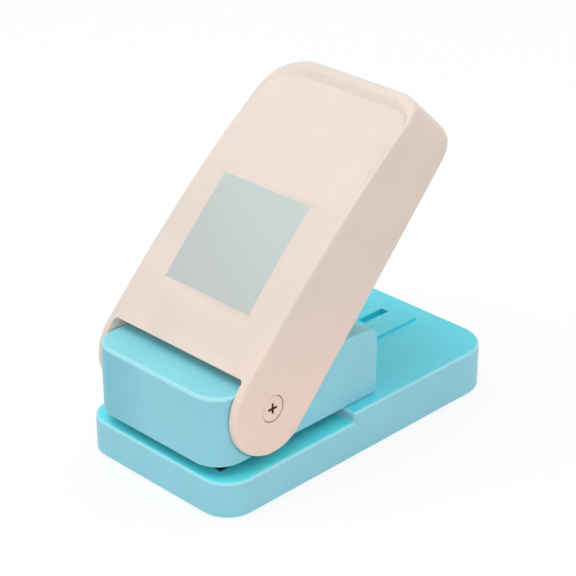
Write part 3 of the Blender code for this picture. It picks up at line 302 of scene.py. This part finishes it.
# Painted shade: dark brown in the caps' cross recesses
crossShadeBrown = {"name": "crossShadeBrown", "colour": (0.10, 0.055, 0.04), "roughness": 0.5,
              "deep": 0.9, "light": 1.1, "grain": 0.012, "dust": 0.0, "subsurface": 0.0,
              "radius": (1.0, 1.0, 1.0), "depth": 0.1}
darkPlastic = {"name": "darkPlastic", "colour": (0.032, 0.036, 0.04), "roughness": 0.55,
               "deep": 0.85, "light": 1.2, "grain": 0.03, "dust": 0.05, "subsurface": 0.0,
               "radius": (1.0, 1.0, 1.0), "depth": 0.1}
# Painted light: the square's grey turns lighter and bluer towards its upper right
squareFace = {"name": "squareFace", "colour": (0.50, 0.51, 0.505), "roughness": 0.34,
              "paintedShadingColour": (0.545, 0.615, 0.605), "across": (0.4, 0.0, 0.9),
              "from": 26.0, "to": 76.0,
              "deep": 0.975, "light": 1.02, "grain": 0.006, "dust": 0.04, "subsurface": 0.0,
              "radius": (1.0, 1.0, 1.0), "depth": 0.1}
footRubber = {"name": "footRubber", "colour": (0.045, 0.045, 0.048), "roughness": 0.8,
              "deep": 0.8, "light": 1.25, "grain": 0.05, "dust": 0.06, "subsurface": 0.0,
              "radius": (1.0, 1.0, 1.0), "depth": 0.1}


plasticStops = (0.3, 0.7)
dustColour = (0.62, 0.62, 0.6, 1)

# Bands of the normal's upward part: slanted faces, which are the rounded top edges and get a painted
# highlight paler than the faces that they join, and level faces

highlightBand = [(0.1, (0, 0, 0)), (0.45, (0.8, 0.8, 0.8)), (0.8, (0.8, 0.8, 0.8)), (0.97, (0, 0, 0))]
levelBand = [(0.9, (0, 0, 0)), (0.99, (1, 1, 1))]


# Painted shading: the colour shades into a second one along a direction, as light falls across the piece
def addPaintedShading(tree, place, colour, finish):
    along = addNode(tree, "ShaderNodeVectorMath", {1: finish["across"]}, operation='DOT_PRODUCT')
    tree.links.new(place, along.inputs[0])
    share = addNode(tree, "ShaderNodeMapRange", {"From Min": finish["from"] * mm,
                                                 "From Max": finish["to"] * mm})
    tree.links.new(along.outputs["Value"], share.inputs["Value"])
    return mixColours(tree, share.outputs["Result"], colour, (*finish["paintedShadingColour"], 1))


# Painted light and shade: a painted top light tone on faces that look up, a painted highlight on the
# rounded top edges, and a brighter, saturated painted bounce light in the shade on faces that look down
# and on level ones below innerTop
def addPaintedLightTones(tree, place, flow, colour, finish):
    geometry = addNode(tree, "ShaderNodeNewGeometry")
    normal = addNode(tree, "ShaderNodeSeparateXYZ")
    tree.links.new(geometry.outputs["Normal"], normal.inputs[0])
    upward = addMath(tree, 'MULTIPLY', normal.outputs["Z"], 1.0, clamp=True)
    downward = addMath(tree, 'MULTIPLY', normal.outputs["Z"], -1.0, clamp=True)
    upper = toneRamp(tree, flow, finish["upper"], plasticStops, finish["deep"], finish["light"])
    colour = mixColours(tree, upward, colour, upper)
    colour = mixColours(tree, addRamp(tree, upward, highlightBand), colour, (*finish["edge"], 1))
    position = addNode(tree, "ShaderNodeSeparateXYZ")
    tree.links.new(place, position.inputs[0])
    low = addMath(tree, 'LESS_THAN', position.outputs["Z"], finish["innerTop"] * mm)
    lowAndLevel = addMath(tree, 'MULTIPLY', low, addRamp(tree, upward, levelBand))
    inner = addMath(tree, 'MAXIMUM', lowAndLevel, downward)
    return mixColours(tree, inner, colour, (*finish["inner"], 1))


def makePlastic(finish):
    material = bpy.data.materials.new(finish["name"])
    tree = newTree(material)
    link = tree.links.new
    place = addNode(tree, "ShaderNodeTexCoord").outputs["Object"]
    skin = groupNode(tree, skinGrain, place, {"Roughness": finish["roughness"]})
    flow = skin.outputs["Flow"]
    colour = toneRamp(tree, flow, finish["colour"], plasticStops, finish["deep"], finish["light"])
    if "paintedShadingColour" in finish:
        colour = addPaintedShading(tree, place, colour, finish)
    if "upper" in finish:
        colour = addPaintedLightTones(tree, place, flow, colour, finish)
    dust = groupNode(tree, restingDust, place, {"Amount": finish["dust"]})
    colour = mixColours(tree, dust.outputs["Mask"], colour, dustColour)
    bump = addNode(tree, "ShaderNodeBump", {"Strength": 0.35, "Distance": finish["grain"] * mm})
    link(skin.outputs["Height"], bump.inputs["Height"])
    shader = addNode(tree, "ShaderNodeBsdfPrincipled",
                     {"Subsurface Weight": finish["subsurface"],
                      "Subsurface Radius": finish["radius"],
                      "Subsurface Scale": finish["depth"] * mm, "IOR": 1.49})
    link(colour, shader.inputs["Base Color"])
    link(skin.outputs["Roughness"], shader.inputs["Roughness"])
    link(bump.outputs["Normal"], shader.inputs["Normal"])
    end = addNode(tree, "ShaderNodeOutputMaterial")
    link(shader.outputs["BSDF"], end.inputs["Surface"])
    return material


# Metals. The lines' height is in millimetres.

toolSteel = {"name": "toolSteel", "colour": (0.56, 0.57, 0.58), "roughness": 0.3,
             "stretch": (60.0, 2600.0, 2600.0), "lines": 0.006}
castZinc = {"name": "castZinc", "colour": (0.42, 0.43, 0.44), "roughness": 0.5,
            "stretch": (900.0, 900.0, 900.0), "lines": 0.03}
bushBrass = {"name": "bushBrass", "colour": (0.72, 0.52, 0.24), "roughness": 0.33,
             "stretch": (2600.0, 60.0, 60.0), "lines": 0.006}
springWire = {"name": "springWire", "colour": (0.5, 0.5, 0.51), "roughness": 0.26,
              "stretch": (900.0, 900.0, 90.0), "lines": 0.004}
screwMetal = {"name": "screwMetal", "colour": (0.46, 0.46, 0.47), "roughness": 0.36,
              "stretch": (1200.0, 1200.0, 1200.0), "lines": 0.008}
metalTones = {"stops": (0.25, 0.75), "deep": 0.9, "light": 1.08, "spread": 0.14}


def makeMetal(finish):
    material = bpy.data.materials.new(finish["name"])
    tree = newTree(material)
    link = tree.links.new
    place = addNode(tree, "ShaderNodeTexCoord").outputs["Object"]
    lines = groupNode(tree, groundLines, place, {"Stretch": finish["stretch"],
                                                 "Roughness": finish["roughness"],
                                                 "Spread": metalTones["spread"]})
    colour = toneRamp(tree, lines.outputs["Height"], finish["colour"], metalTones["stops"],
                      metalTones["deep"], metalTones["light"])
    bump = addNode(tree, "ShaderNodeBump", {"Strength": 0.4, "Distance": finish["lines"] * mm})
    link(lines.outputs["Height"], bump.inputs["Height"])
    shader = addNode(tree, "ShaderNodeBsdfPrincipled", {"Metallic": 1.0})
    link(colour, shader.inputs["Base Color"])
    link(lines.outputs["Roughness"], shader.inputs["Roughness"])
    link(bump.outputs["Normal"], shader.inputs["Normal"])
    end = addNode(tree, "ShaderNodeOutputMaterial")
    link(shader.outputs["BSDF"], end.inputs["Surface"])
    return material


looks = {finish["name"]: makePlastic(finish)
         for finish in (bluePlastic, baseBlue, slotShadeBlue, creamPlastic, crossShadeBrown, darkPlastic,
                        squareFace, footRubber)}
looks.update({finish["name"]: makeMetal(finish)
              for finish in (toolSteel, castZinc, bushBrass, springWire, screwMetal)})
print("materials:", ", ".join(sorted(looks)))


# Copies are reshaped in millimetres, in one of three frames. In the lever's own frame its hinge is
# the origin and y runs along the lever, which leans by leverTurn at rest.

leverJoint = next(joint for joint in frame["record"]["behaviour"]["joints"]
                  if joint["name"] == "lever_hinge")
leverPivot = Vector(leverJoint["pos_m"])
leverTurn = math.radians(47.3)
worldFrame = Matrix.Scale(mm, 4)
leverFrame = Matrix.Translation(leverPivot) @ Matrix.Rotation(leverTurn, 4, 'X') @ worldFrame
pinFrame = Matrix.Translation(leverPivot) @ worldFrame


def addPiece(name, mesh, look):
    piece = bpy.data.objects.new(name, mesh)
    scene.collection.objects.link(piece)
    mesh.materials.clear()
    mesh.materials.append(looks[look])
    return piece


def smoothShade(mesh, angle=sharpAngle):
    mesh.shade_smooth()
    mesh.set_sharp_from_angle(angle=angle)


# Finer outlines than the frame's solids have. Each works on a copy, in millimetres.

def cutAcross(bm, place, normal):
    bmesh.ops.bisect_plane(bm, geom=bm.verts[:] + bm.edges[:] + bm.faces[:], dist=cutTolerance,
                           plane_co=place, plane_no=normal)


# How deep a point lies inside an outline with this half width, far end and corner radius

def insetFrom(x, y, half, far, corner):
    dx, dy = x - half + corner, y - far + corner
    return corner - (math.hypot(dx, dy) if dx > 0 and dy > 0 else max(dx, dy))


# The far corners' radius grows from corner to softLeft and softRight, after cuts across the flats
# that the wider round takes up. The move fades out below the skin, over the depth given by fade.

def softenFarCorners(bm, setup):
    half, far, corner = (setup[name] for name in ("half", "far", "corner"))
    for side, softer in ((-1, setup["softLeft"]), (1, setup["softRight"])):
        for k in range(setup["cuts"]):
            back = softer - (softer - corner) * k / setup["cuts"]
            cutAcross(bm, (0, far - back, 0), (0, 1, 0))
            cutAcross(bm, (side * (half - back), 0, 0), (1, 0, 0))
    for vert in bm.verts:
        x, y = abs(vert.co.x), vert.co.y
        softer = setup["softLeft"] if vert.co.x < 0 else setup["softRight"]
        across = Vector((x - half + softer, y - far + softer))
        if min(across) <= 0:
            continue
        inset = insetFrom(x, y, half, far, corner)
        shift = inset - insetFrom(x, y, half, far, softer)
        fade = 1 - max(0.0, inset - setup["skin"]) / setup["fade"]
        if fade > 0:
            move = across.normalized() * shift * fade
            vert.co.x -= math.copysign(move.x, vert.co.x)
            vert.co.y -= move.y


baseShape = {"half": 34.0, "far": 63.7, "corner": 10.2, "softLeft": 13.2, "softRight": 13.2,
             "cuts": 3, "skin": 1.3, "fade": 1.0}


def reshapeBase(bm):
    softenFarCorners(bm, baseShape)


# The roof falls towards the back by drop. Outside faces, past side or back, follow it less and
# less down to fadeFrom.

housingShape = {"top": 41.4, "skin": 1.9, "slopeStart": -3.5, "slope": 12.0, "drop": 2.0, "cuts": 5,
                "side": 28.9, "back": 7.2, "fadeFrom": 32.0}


def reshapeHousing(bm):
    start, slope = housingShape["slopeStart"], housingShape["slope"]
    for k in range(housingShape["cuts"]):
        cutAcross(bm, (0, start + slope * k / housingShape["cuts"], 0), (0, 1, 0))
    roof = housingShape["top"] - housingShape["skin"]
    for vert in bm.verts:
        along = (vert.co.y - start) / slope
        outside = abs(vert.co.x) > housingShape["side"] or vert.co.y > housingShape["back"]
        height = (vert.co.z - housingShape["fadeFrom"]) / (roof - housingShape["fadeFrom"])
        if along > 0 and height > 0 and (outside or height > 1):
            vert.co.z -= housingShape["drop"] * along ** 2 * min(1.0, height)


# The lever's sides come in by slim, and by a taper more at its far end. Its top is an arc of radius
# crown. Its far end bends down by drop, which counts fully from bendHeight above bendLow.

leverShape = {"half": 33.0, "far": 106.4, "corner": 10.0, "softLeft": 18.0, "softRight": 11.5,
              "cuts": 5, "skin": 1.7, "fade": 9.0,
              "armInside": 29.6, "slim": 0.56, "taperLeft": 2.0, "taperRight": 0.45,
              "crown": 690.0, "armRadius": 16.0,
              "recessStart": 62.0, "recessHalf": 31.2, "recessDeepest": 1.6, "recessLeft": 0.5,
              "wallCutsAlong": (99.8, 103.2), "wallCutsAcross": (-29.4, 29.4),
              "seatStart": 20.8, "seatEnd": 61.8, "seatHalf": 19.9,
              "bendStart": 45.0, "bendLow": -8.0, "bendHeight": 10.0, "drop": 1.5, "longer": 0.4}

# A pivot's cap and the seat around it shrink from radius to smaller. Only points between inside
# and largest move.

pinShape = {"inside": 3.6, "largest": 5.4, "radius": 4.9, "smaller": 4.45}


def slimSides(bm, setup):
    room = setup["half"] - setup["armInside"]
    for vert in bm.verts:
        beyond = abs(vert.co.x) - setup["armInside"]
        if beyond > 0:
            share = min(1.0, max(0.0, vert.co.y / setup["far"]))
            taper = setup["taperLeft"] if vert.co.x < 0 else setup["taperRight"]
            slim = setup["slim"] + taper * share ** 2
            vert.co.x -= math.copysign(beyond * slim / room, vert.co.x)


def crownHeight(along, setup):
    return setup["armRadius"] - setup["crown"] + math.sqrt(setup["crown"] ** 2 - along ** 2)


# The recess keeps only the share recessLeft of its depth at its left side, and the square's seat is
# filled level

def levelTop(bm, setup):
    for vert in bm.verts:
        x, y = vert.co.x, vert.co.y
        depth = crownHeight(y, setup) - vert.co.z
        if not 0 < depth < setup["recessDeepest"]:
            continue
        if y > setup["recessStart"] and abs(x) < setup["recessHalf"]:
            share = 1 - (1 - setup["recessLeft"]) * max(0.0, -x) / setup["recessHalf"]
            vert.co.z += depth * (1 - share)
        elif setup["seatStart"] < y < setup["seatEnd"] and abs(x) < setup["seatHalf"]:
            vert.co.z += depth


def bendFarEnd(bm, setup):
    for vert in bm.verts:
        share = max(0.0, (vert.co.y - setup["bendStart"]) / (setup["far"] - setup["bendStart"]))
        height = min(1.0, max(0.0, (vert.co.z - setup["bendLow"]) / setup["bendHeight"]))
        vert.co.z -= setup["drop"] * height * share ** 2
        vert.co.y += setup["longer"] * share


def shrinkCap(bm, setup):
    for vert in bm.verts:
        radius = math.hypot(vert.co.y, vert.co.z)
        onCap = abs(vert.co.x) > leverShape["armInside"]
        if onCap and setup["inside"] < radius < setup["largest"]:
            vert.co.yz *= setup["smaller"] / setup["radius"]


# Cuts on both sides of the recess's walls keep its smooth shading from fading into the flats

def reshapeLever(bm):
    levelTop(bm, leverShape)
    for y in leverShape["wallCutsAlong"]:
        cutAcross(bm, (0, y, 0), (0, 1, 0))
    for x in leverShape["wallCutsAcross"]:
        cutAcross(bm, (x, 0, 0), (1, 0, 0))
    softenFarCorners(bm, leverShape)
    slimSides(bm, leverShape)
    bendFarEnd(bm, leverShape)
    shrinkCap(bm, pinShape)


def reshapePin(bm):
    slimSides(bm, leverShape)
    shrinkCap(bm, pinShape)


reshapes = {"base": (worldFrame, reshapeBase), "housing": (worldFrame, reshapeHousing),
            "lever": (leverFrame, reshapeLever), "pivot_pin_left": (pinFrame, reshapePin),
            "pivot_pin_right": (pinFrame, reshapePin)}


# The slot in the deck is short and wide, and the tongue beside it stands a little higher. The
# solids' long narrow slot is filled first.

deckEdits = [
    {"name": "slotFill", "operation": 'UNION', "low": (-7.36, 20.4, 12.0), "high": (-4.8, 54.6, 16.6)},
    {"name": "tongue", "operation": 'UNION', "low": (-4.85, 9.1, 15.0), "high": (4.85, 55.5, 17.5)},
    {"name": "slot", "operation": 'DIFFERENCE', "low": (-9.3, 41.0, 14.7), "high": (-5.7, 53.4, 20.0)},
]


def addBlock(edit):
    low, high = Vector(edit["low"]), Vector(edit["high"])
    bm = bmesh.new()
    bmesh.ops.create_cube(bm, size=1.0)
    bmesh.ops.scale(bm, vec=high - low, verts=bm.verts)
    bmesh.ops.translate(bm, vec=(high + low) / 2, verts=bm.verts)
    bmesh.ops.scale(bm, vec=(mm, mm, mm), verts=bm.verts)
    mesh = bpy.data.meshes.new(edit["name"])
    bm.to_mesh(mesh)
    bm.free()
    block = bpy.data.objects.new(edit["name"], mesh)
    scene.collection.objects.link(block)
    return block


def editDeck(mesh):
    holder = bpy.data.objects.new("deckHolder", mesh)
    scene.collection.objects.link(holder)
    blocks = [addBlock(edit) for edit in deckEdits]
    for edit, block in zip(deckEdits, blocks):
        change = holder.modifiers.new(edit["name"], 'BOOLEAN')
        change.operation = edit["operation"]
        change.object = block
    graph = bpy.context.evaluated_depsgraph_get()
    edited = bpy.data.meshes.new_from_object(holder.evaluated_get(graph))
    for leftover in [holder] + blocks:
        bpy.data.objects.remove(leftover)
    return edited


# Hard edges get a small round that catches the light as a moulding's edges do

def roundHardEdges(bm, edgeRound):
    hard = [edge for edge in bm.edges
            if len(edge.link_faces) == 2 and edge.calc_face_angle() > sharpAngle]
    if edgeRound > 0 and hard:
        bmesh.ops.bevel(bm, geom=hard, offset=edgeRound * mm, affect='EDGES',
                        segments=roundSegments, profile=0.5, clamp_overlap=True, material=-1,
                        loop_slide=True)


# A node's copy is welded, the base's deck is edited and flat faces are joined. Then some copies
# are reshaped, and the edges are rounded last.

def refine(nodeName, shell):
    mesh = nodes[nodeName].data.copy()
    bm = bmesh.new()
    bm.from_mesh(mesh)
    bmesh.ops.remove_doubles(bm, verts=bm.verts, dist=weldDistance)
    if nodeName == "base":
        bm.to_mesh(mesh)
        mesh = editDeck(mesh)
        bm.clear()
        bm.from_mesh(mesh)
    mesh.name = shell["piece"]
    bmesh.ops.dissolve_limit(bm, angle_limit=flatAngle, verts=bm.verts, edges=bm.edges)
    if nodeName in reshapes:
        ownFrame, reshape = reshapes[nodeName]
        bm.transform(ownFrame.inverted())
        reshape(bm)
        bm.transform(ownFrame)
    roundHardEdges(bm, shell["round"])
    bm.to_mesh(mesh)
    bm.free()
    smoothShade(mesh, leverSharpAngle if nodeName == "lever" else sharpAngle)
    piece = addPiece(shell["piece"], mesh, shell["look"])
    weighted = piece.modifiers.new("weighted", 'WEIGHTED_NORMAL')
    weighted.keep_sharp = True
    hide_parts(nodeName)
    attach(piece, nodes[nodeName]["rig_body"])
    return piece


# Each node's piece, with its look and the round of its edges in millimetres

shells = {
    "base": {"piece": "baseMoulding", "look": "baseBlue", "round": 0.25},
    "housing": {"piece": "housingMoulding", "look": "bluePlastic", "round": 0.22},
    "lever": {"piece": "leverMoulding", "look": "creamPlastic", "round": 0.2},
    "chip_cover": {"piece": "chipCover", "look": "darkPlastic", "round": 0.2},
    "paper_guide": {"piece": "paperGuide", "look": "darkPlastic", "round": 0.15},
    "die_plate": {"piece": "diePlate", "look": "toolSteel", "round": 0.06},
    "guide_plate": {"piece": "guidePlate", "look": "toolSteel", "round": 0.06},
    "punch_carrier": {"piece": "punchCarrier", "look": "castZinc", "round": 0.2},
    "wear_plate": {"piece": "wearPlate", "look": "toolSteel", "round": 0.0},
    "corner_cutter_left": {"piece": "cornerCutterLeft", "look": "toolSteel", "round": 0.0},
    "corner_cutter_right": {"piece": "cornerCutterRight", "look": "toolSteel", "round": 0.0},
    "hole_pin": {"piece": "holePin", "look": "toolSteel", "round": 0.0},
    "press_roller": {"piece": "pressRoller", "look": "toolSteel", "round": 0.1},
    "roller_axle": {"piece": "rollerAxle", "look": "screwMetal", "round": 0.12},
    "guide_pin_left": {"piece": "guidePinLeft", "look": "toolSteel", "round": 0.08},
    "guide_pin_right": {"piece": "guidePinRight", "look": "toolSteel", "round": 0.08},
    "guide_pin_rear": {"piece": "guidePinRear", "look": "toolSteel", "round": 0.08},
    "pivot_bush_left": {"piece": "pivotBushLeft", "look": "bushBrass", "round": 0.1},
    "pivot_bush_right": {"piece": "pivotBushRight", "look": "bushBrass", "round": 0.1},
    "pivot_pin_left": {"piece": "pivotPinLeft", "look": "creamPlastic", "round": 0.08},
    "pivot_pin_right": {"piece": "pivotPinRight", "look": "creamPlastic", "round": 0.08},
}
for node in sorted(nodes):
    if node.startswith("foot_"):
        padName = node.replace("foot_", "foot_pad_")
        shells[node] = {"piece": padName, "look": "footRubber", "round": 0.15}
for node in sorted(nodes):
    if "screw" in node:
        shells[node] = {"piece": node + "_metal", "look": "screwMetal", "round": 0.08}

pieces = {node: refine(node, shell) for node, shell in shells.items()}
print("pieces made from nodes:", len(pieces))


# Painted shade: faces in the slot, on the tongue's right side and in the caps' crosses get a deeper
# colour of their own

shadedPlaces = [
    {"node": "base", "look": "slotShadeBlue", "low": (-9.4, 40.9, 14.6), "high": (-5.6, 53.5, 16.5)},
    {"node": "base", "look": "slotShadeBlue", "low": (4.8, 9.0, 16.3), "high": (4.9, 56.0, 17.6)},
    {"node": "pivot_pin_right", "look": "crossShadeBrown", "low": (29.7, -43.9, 30.6),
     "high": (32.2, -40.1, 34.4)},
    {"node": "pivot_pin_left", "look": "crossShadeBrown", "low": (-32.2, -43.9, 30.6),
     "high": (-29.7, -40.1, 34.4)},
]


def shadeInside(setup):
    mesh = pieces[setup["node"]].data
    if setup["look"] not in mesh.materials:
        mesh.materials.append(looks[setup["look"]])
    shaded = mesh.materials.find(setup["look"])
    low, high = Vector(setup["low"]) * mm, Vector(setup["high"]) * mm
    for face in mesh.polygons:
        if all(low[axis] < face.center[axis] < high[axis] for axis in range(3)):
            face.material_index = shaded


for place in shadedPlaces:
    shadeInside(place)
print("places with a look of their own:", len(shadedPlaces))


# Bare square on the lever's top, laid over its filled seat, a little to the left and askew

squarePatch = {"width": 38.1, "length": 38.7, "start": 21.6, "shift": -1.05, "lean": -0.034,
               "rise": 0.04, "thickness": 0.5, "columns": 4, "rows": 24}


def makeSquare(setup):
    bm = bmesh.new()
    bmesh.ops.create_grid(bm, x_segments=setup["columns"], y_segments=setup["rows"], size=0.5)
    bmesh.ops.scale(bm, vec=(setup["width"], setup["length"], 1), verts=bm.verts)
    middle = setup["start"] + setup["length"] / 2
    for vert in bm.verts:
        across = vert.co.x + setup["shift"] + setup["lean"] * vert.co.y
        along = vert.co.y + middle
        vert.co = Vector((across, along, crownHeight(along, leverShape) + setup["rise"]))
    bendFarEnd(bm, leverShape)
    bmesh.ops.recalc_face_normals(bm, faces=bm.faces)
    if sum(face.normal.z for face in bm.faces) < 0:
        bmesh.ops.reverse_faces(bm, faces=bm.faces)
    bmesh.ops.solidify(bm, geom=bm.faces, thickness=setup["thickness"])
    bm.transform(leverFrame)
    bmesh.ops.recalc_face_normals(bm, faces=bm.faces)
    mesh = bpy.data.meshes.new("bareSquare")
    bm.to_mesh(mesh)
    bm.free()
    smoothShade(mesh)
    square = addPiece("bareSquare", mesh, "squareFace")
    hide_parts("label_square")
    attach(square, "lever")


makeSquare(squarePatch)
print("square laid on the lever")


# Return springs: fine round wire. Each end has one turn with a narrower pitch.

coilWire = {"wire": 0.35, "radius": 3.2, "turns": 8, "endPitch": 1.15, "perTurn": 24,
            "roundness": 3, "stroke": 7.0}


def makeSpring(side, setup):
    low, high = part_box(f"return_spring_{side}")
    centre = (low + high) / 2
    wire = setup["wire"] * mm
    bottom, top = low.z + wire, high.z - wire
    endPitch = setup["endPitch"] * mm
    turns = setup["turns"]
    openPitch = (top - bottom - 2 * endPitch) / (turns - 2)
    curve = bpy.data.curves.new(f"returnSpring_{side}", 'CURVE')
    curve.dimensions = '3D'
    curve.bevel_depth = wire
    curve.bevel_resolution = setup["roundness"]
    curve.use_fill_caps = True
    spline = curve.splines.new('POLY')
    count = turns * setup["perTurn"]
    spline.points.add(count)
    for k, point in enumerate(spline.points):
        turn = k / setup["perTurn"]
        if turn <= 1:
            height = bottom + endPitch * turn
        elif turn >= turns - 1:
            height = top - endPitch * (turns - turn)
        else:
            height = bottom + endPitch + openPitch * (turn - 1)
        angle = 2 * math.pi * turn
        reach = setup["radius"] * mm
        point.co = (centre.x + reach * math.cos(angle), centre.y + reach * math.sin(angle),
                    height, 1)
    holder = bpy.data.objects.new("springLine", curve)
    scene.collection.objects.link(holder)
    graph = bpy.context.evaluated_depsgraph_get()
    mesh = bpy.data.meshes.new_from_object(holder.evaluated_get(graph))
    bpy.data.objects.remove(holder)
    bm = bmesh.new()
    bm.from_mesh(mesh)
    bmesh.ops.remove_doubles(bm, verts=bm.verts, dist=weldDistance)
    bmesh.ops.recalc_face_normals(bm, faces=bm.faces)
    bm.to_mesh(mesh)
    bm.free()
    smoothShade(mesh)
    spring = addPiece(f"returnSpring_{side}", mesh, "springWire")
    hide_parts(f"return_spring_{side}")
    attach(spring, "frame")
    height = high.z - low.z
    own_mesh(spring)


for side in ("left", "right", "rear"):
    makeSpring(side, coilWire)
print("springs wound")


# Floor, world and lamps, in metres. To the camera, in reflections and through glass the floor is
# nearly white and keeps a soft shadow, and the world is white.

studio = {"floorSize": 6.0, "floorCells": 8, "floorColour": (0.86, 0.86, 0.86),
          "cameraWhite": 0.84, "cameraShade": 0.16}


def showsBackground(tree):
    path = addNode(tree, "ShaderNodeLightPath")
    seen = addMath(tree, 'MAXIMUM', path.outputs["Is Camera Ray"], path.outputs["Is Glossy Ray"])
    return addMath(tree, 'MAXIMUM', seen, path.outputs["Is Transmission Ray"])


def makeFloor(setup):
    bm = bmesh.new()
    bmesh.ops.create_grid(bm, x_segments=setup["floorCells"], y_segments=setup["floorCells"],
                          size=setup["floorSize"] / 2)
    mesh = bpy.data.meshes.new("floor")
    bm.to_mesh(mesh)
    bm.free()
    floor = bpy.data.objects.new("floor", mesh)
    scene.collection.objects.link(floor)
    material = bpy.data.materials.new("paleFloor")
    tree = newTree(material)
    link = tree.links.new
    bounce = addNode(tree, "ShaderNodeBsdfDiffuse", {"Color": (*setup["floorColour"], 1)})
    shade = setup["cameraShade"]
    soft = addNode(tree, "ShaderNodeBsdfDiffuse", {"Color": (shade, shade, shade, 1)})
    glow = addNode(tree, "ShaderNodeEmission", {"Color": (1, 1, 1, 1),
                                                "Strength": setup["cameraWhite"]})
    both = addNode(tree, "ShaderNodeAddShader")
    link(soft.outputs[0], both.inputs[0])
    link(glow.outputs[0], both.inputs[1])
    mix = addNode(tree, "ShaderNodeMixShader")
    link(showsBackground(tree), mix.inputs["Fac"])
    link(bounce.outputs[0], mix.inputs[1])
    link(both.outputs[0], mix.inputs[2])
    end = addNode(tree, "ShaderNodeOutputMaterial")
    link(mix.outputs[0], end.inputs["Surface"])
    mesh.materials.append(material)


worldLight = {"colour": (1.0, 1.0, 1.0), "strength": 0.58}


def makeWorld(setup):
    world = bpy.data.worlds.new("studioWorld")
    scene.world = world
    tree = newTree(world)
    link = tree.links.new
    ambient = addNode(tree, "ShaderNodeBackground", {"Color": (*setup["colour"], 1),
                                                     "Strength": setup["strength"]})
    white = addNode(tree, "ShaderNodeBackground", {"Color": (1, 1, 1, 1), "Strength": 1.0})
    mix = addNode(tree, "ShaderNodeMixShader")
    link(showsBackground(tree), mix.inputs["Fac"])
    link(ambient.outputs[0], mix.inputs[1])
    link(white.outputs[0], mix.inputs[2])
    end = addNode(tree, "ShaderNodeOutputWorld")
    link(mix.outputs[0], end.inputs["Surface"])


softLamps = {
    "topLamp": {"place": (-0.2, -0.3, 1.1), "size": 1.0, "power": 6.0, "colour": (0.97, 1.0, 1.0)},
    "frontLamp": {"place": (0.6, -0.7, 0.3), "size": 0.6, "power": 0.5, "colour": (1.0, 0.99, 0.98)},
    "rightLamp": {"place": (1.05, -0.35, 0.18), "size": 0.7, "power": 1.65, "colour": (1.0, 0.79, 0.71)},
    "backLamp": {"place": (0.2, 0.95, 0.75), "size": 0.7, "power": 1.5, "colour": (0.94, 1.0, 1.0)},
}
lampAim = (0.0, 0.0, 0.05)


def addLamp(name, setup):
    data = bpy.data.lights.new(name, 'AREA')
    data.shape = 'SQUARE'
    data.size = setup["size"]
    data.energy = setup["power"]
    data.color = setup["colour"]
    lamp = bpy.data.objects.new(name, data)
    scene.collection.objects.link(lamp)
    lamp.location = setup["place"]
    aim = Vector(lampAim) - Vector(setup["place"])
    lamp.rotation_mode = 'QUATERNION'
    lamp.rotation_quaternion = aim.to_track_quat('-Z', 'Y')


makeFloor(studio)
makeWorld(worldLight)
for lampName, lampSetup in softLamps.items():
    addLamp(lampName, lampSetup)
scene.view_settings.view_transform = 'Standard'
print("studio lit with", len(softLamps), "lamps")
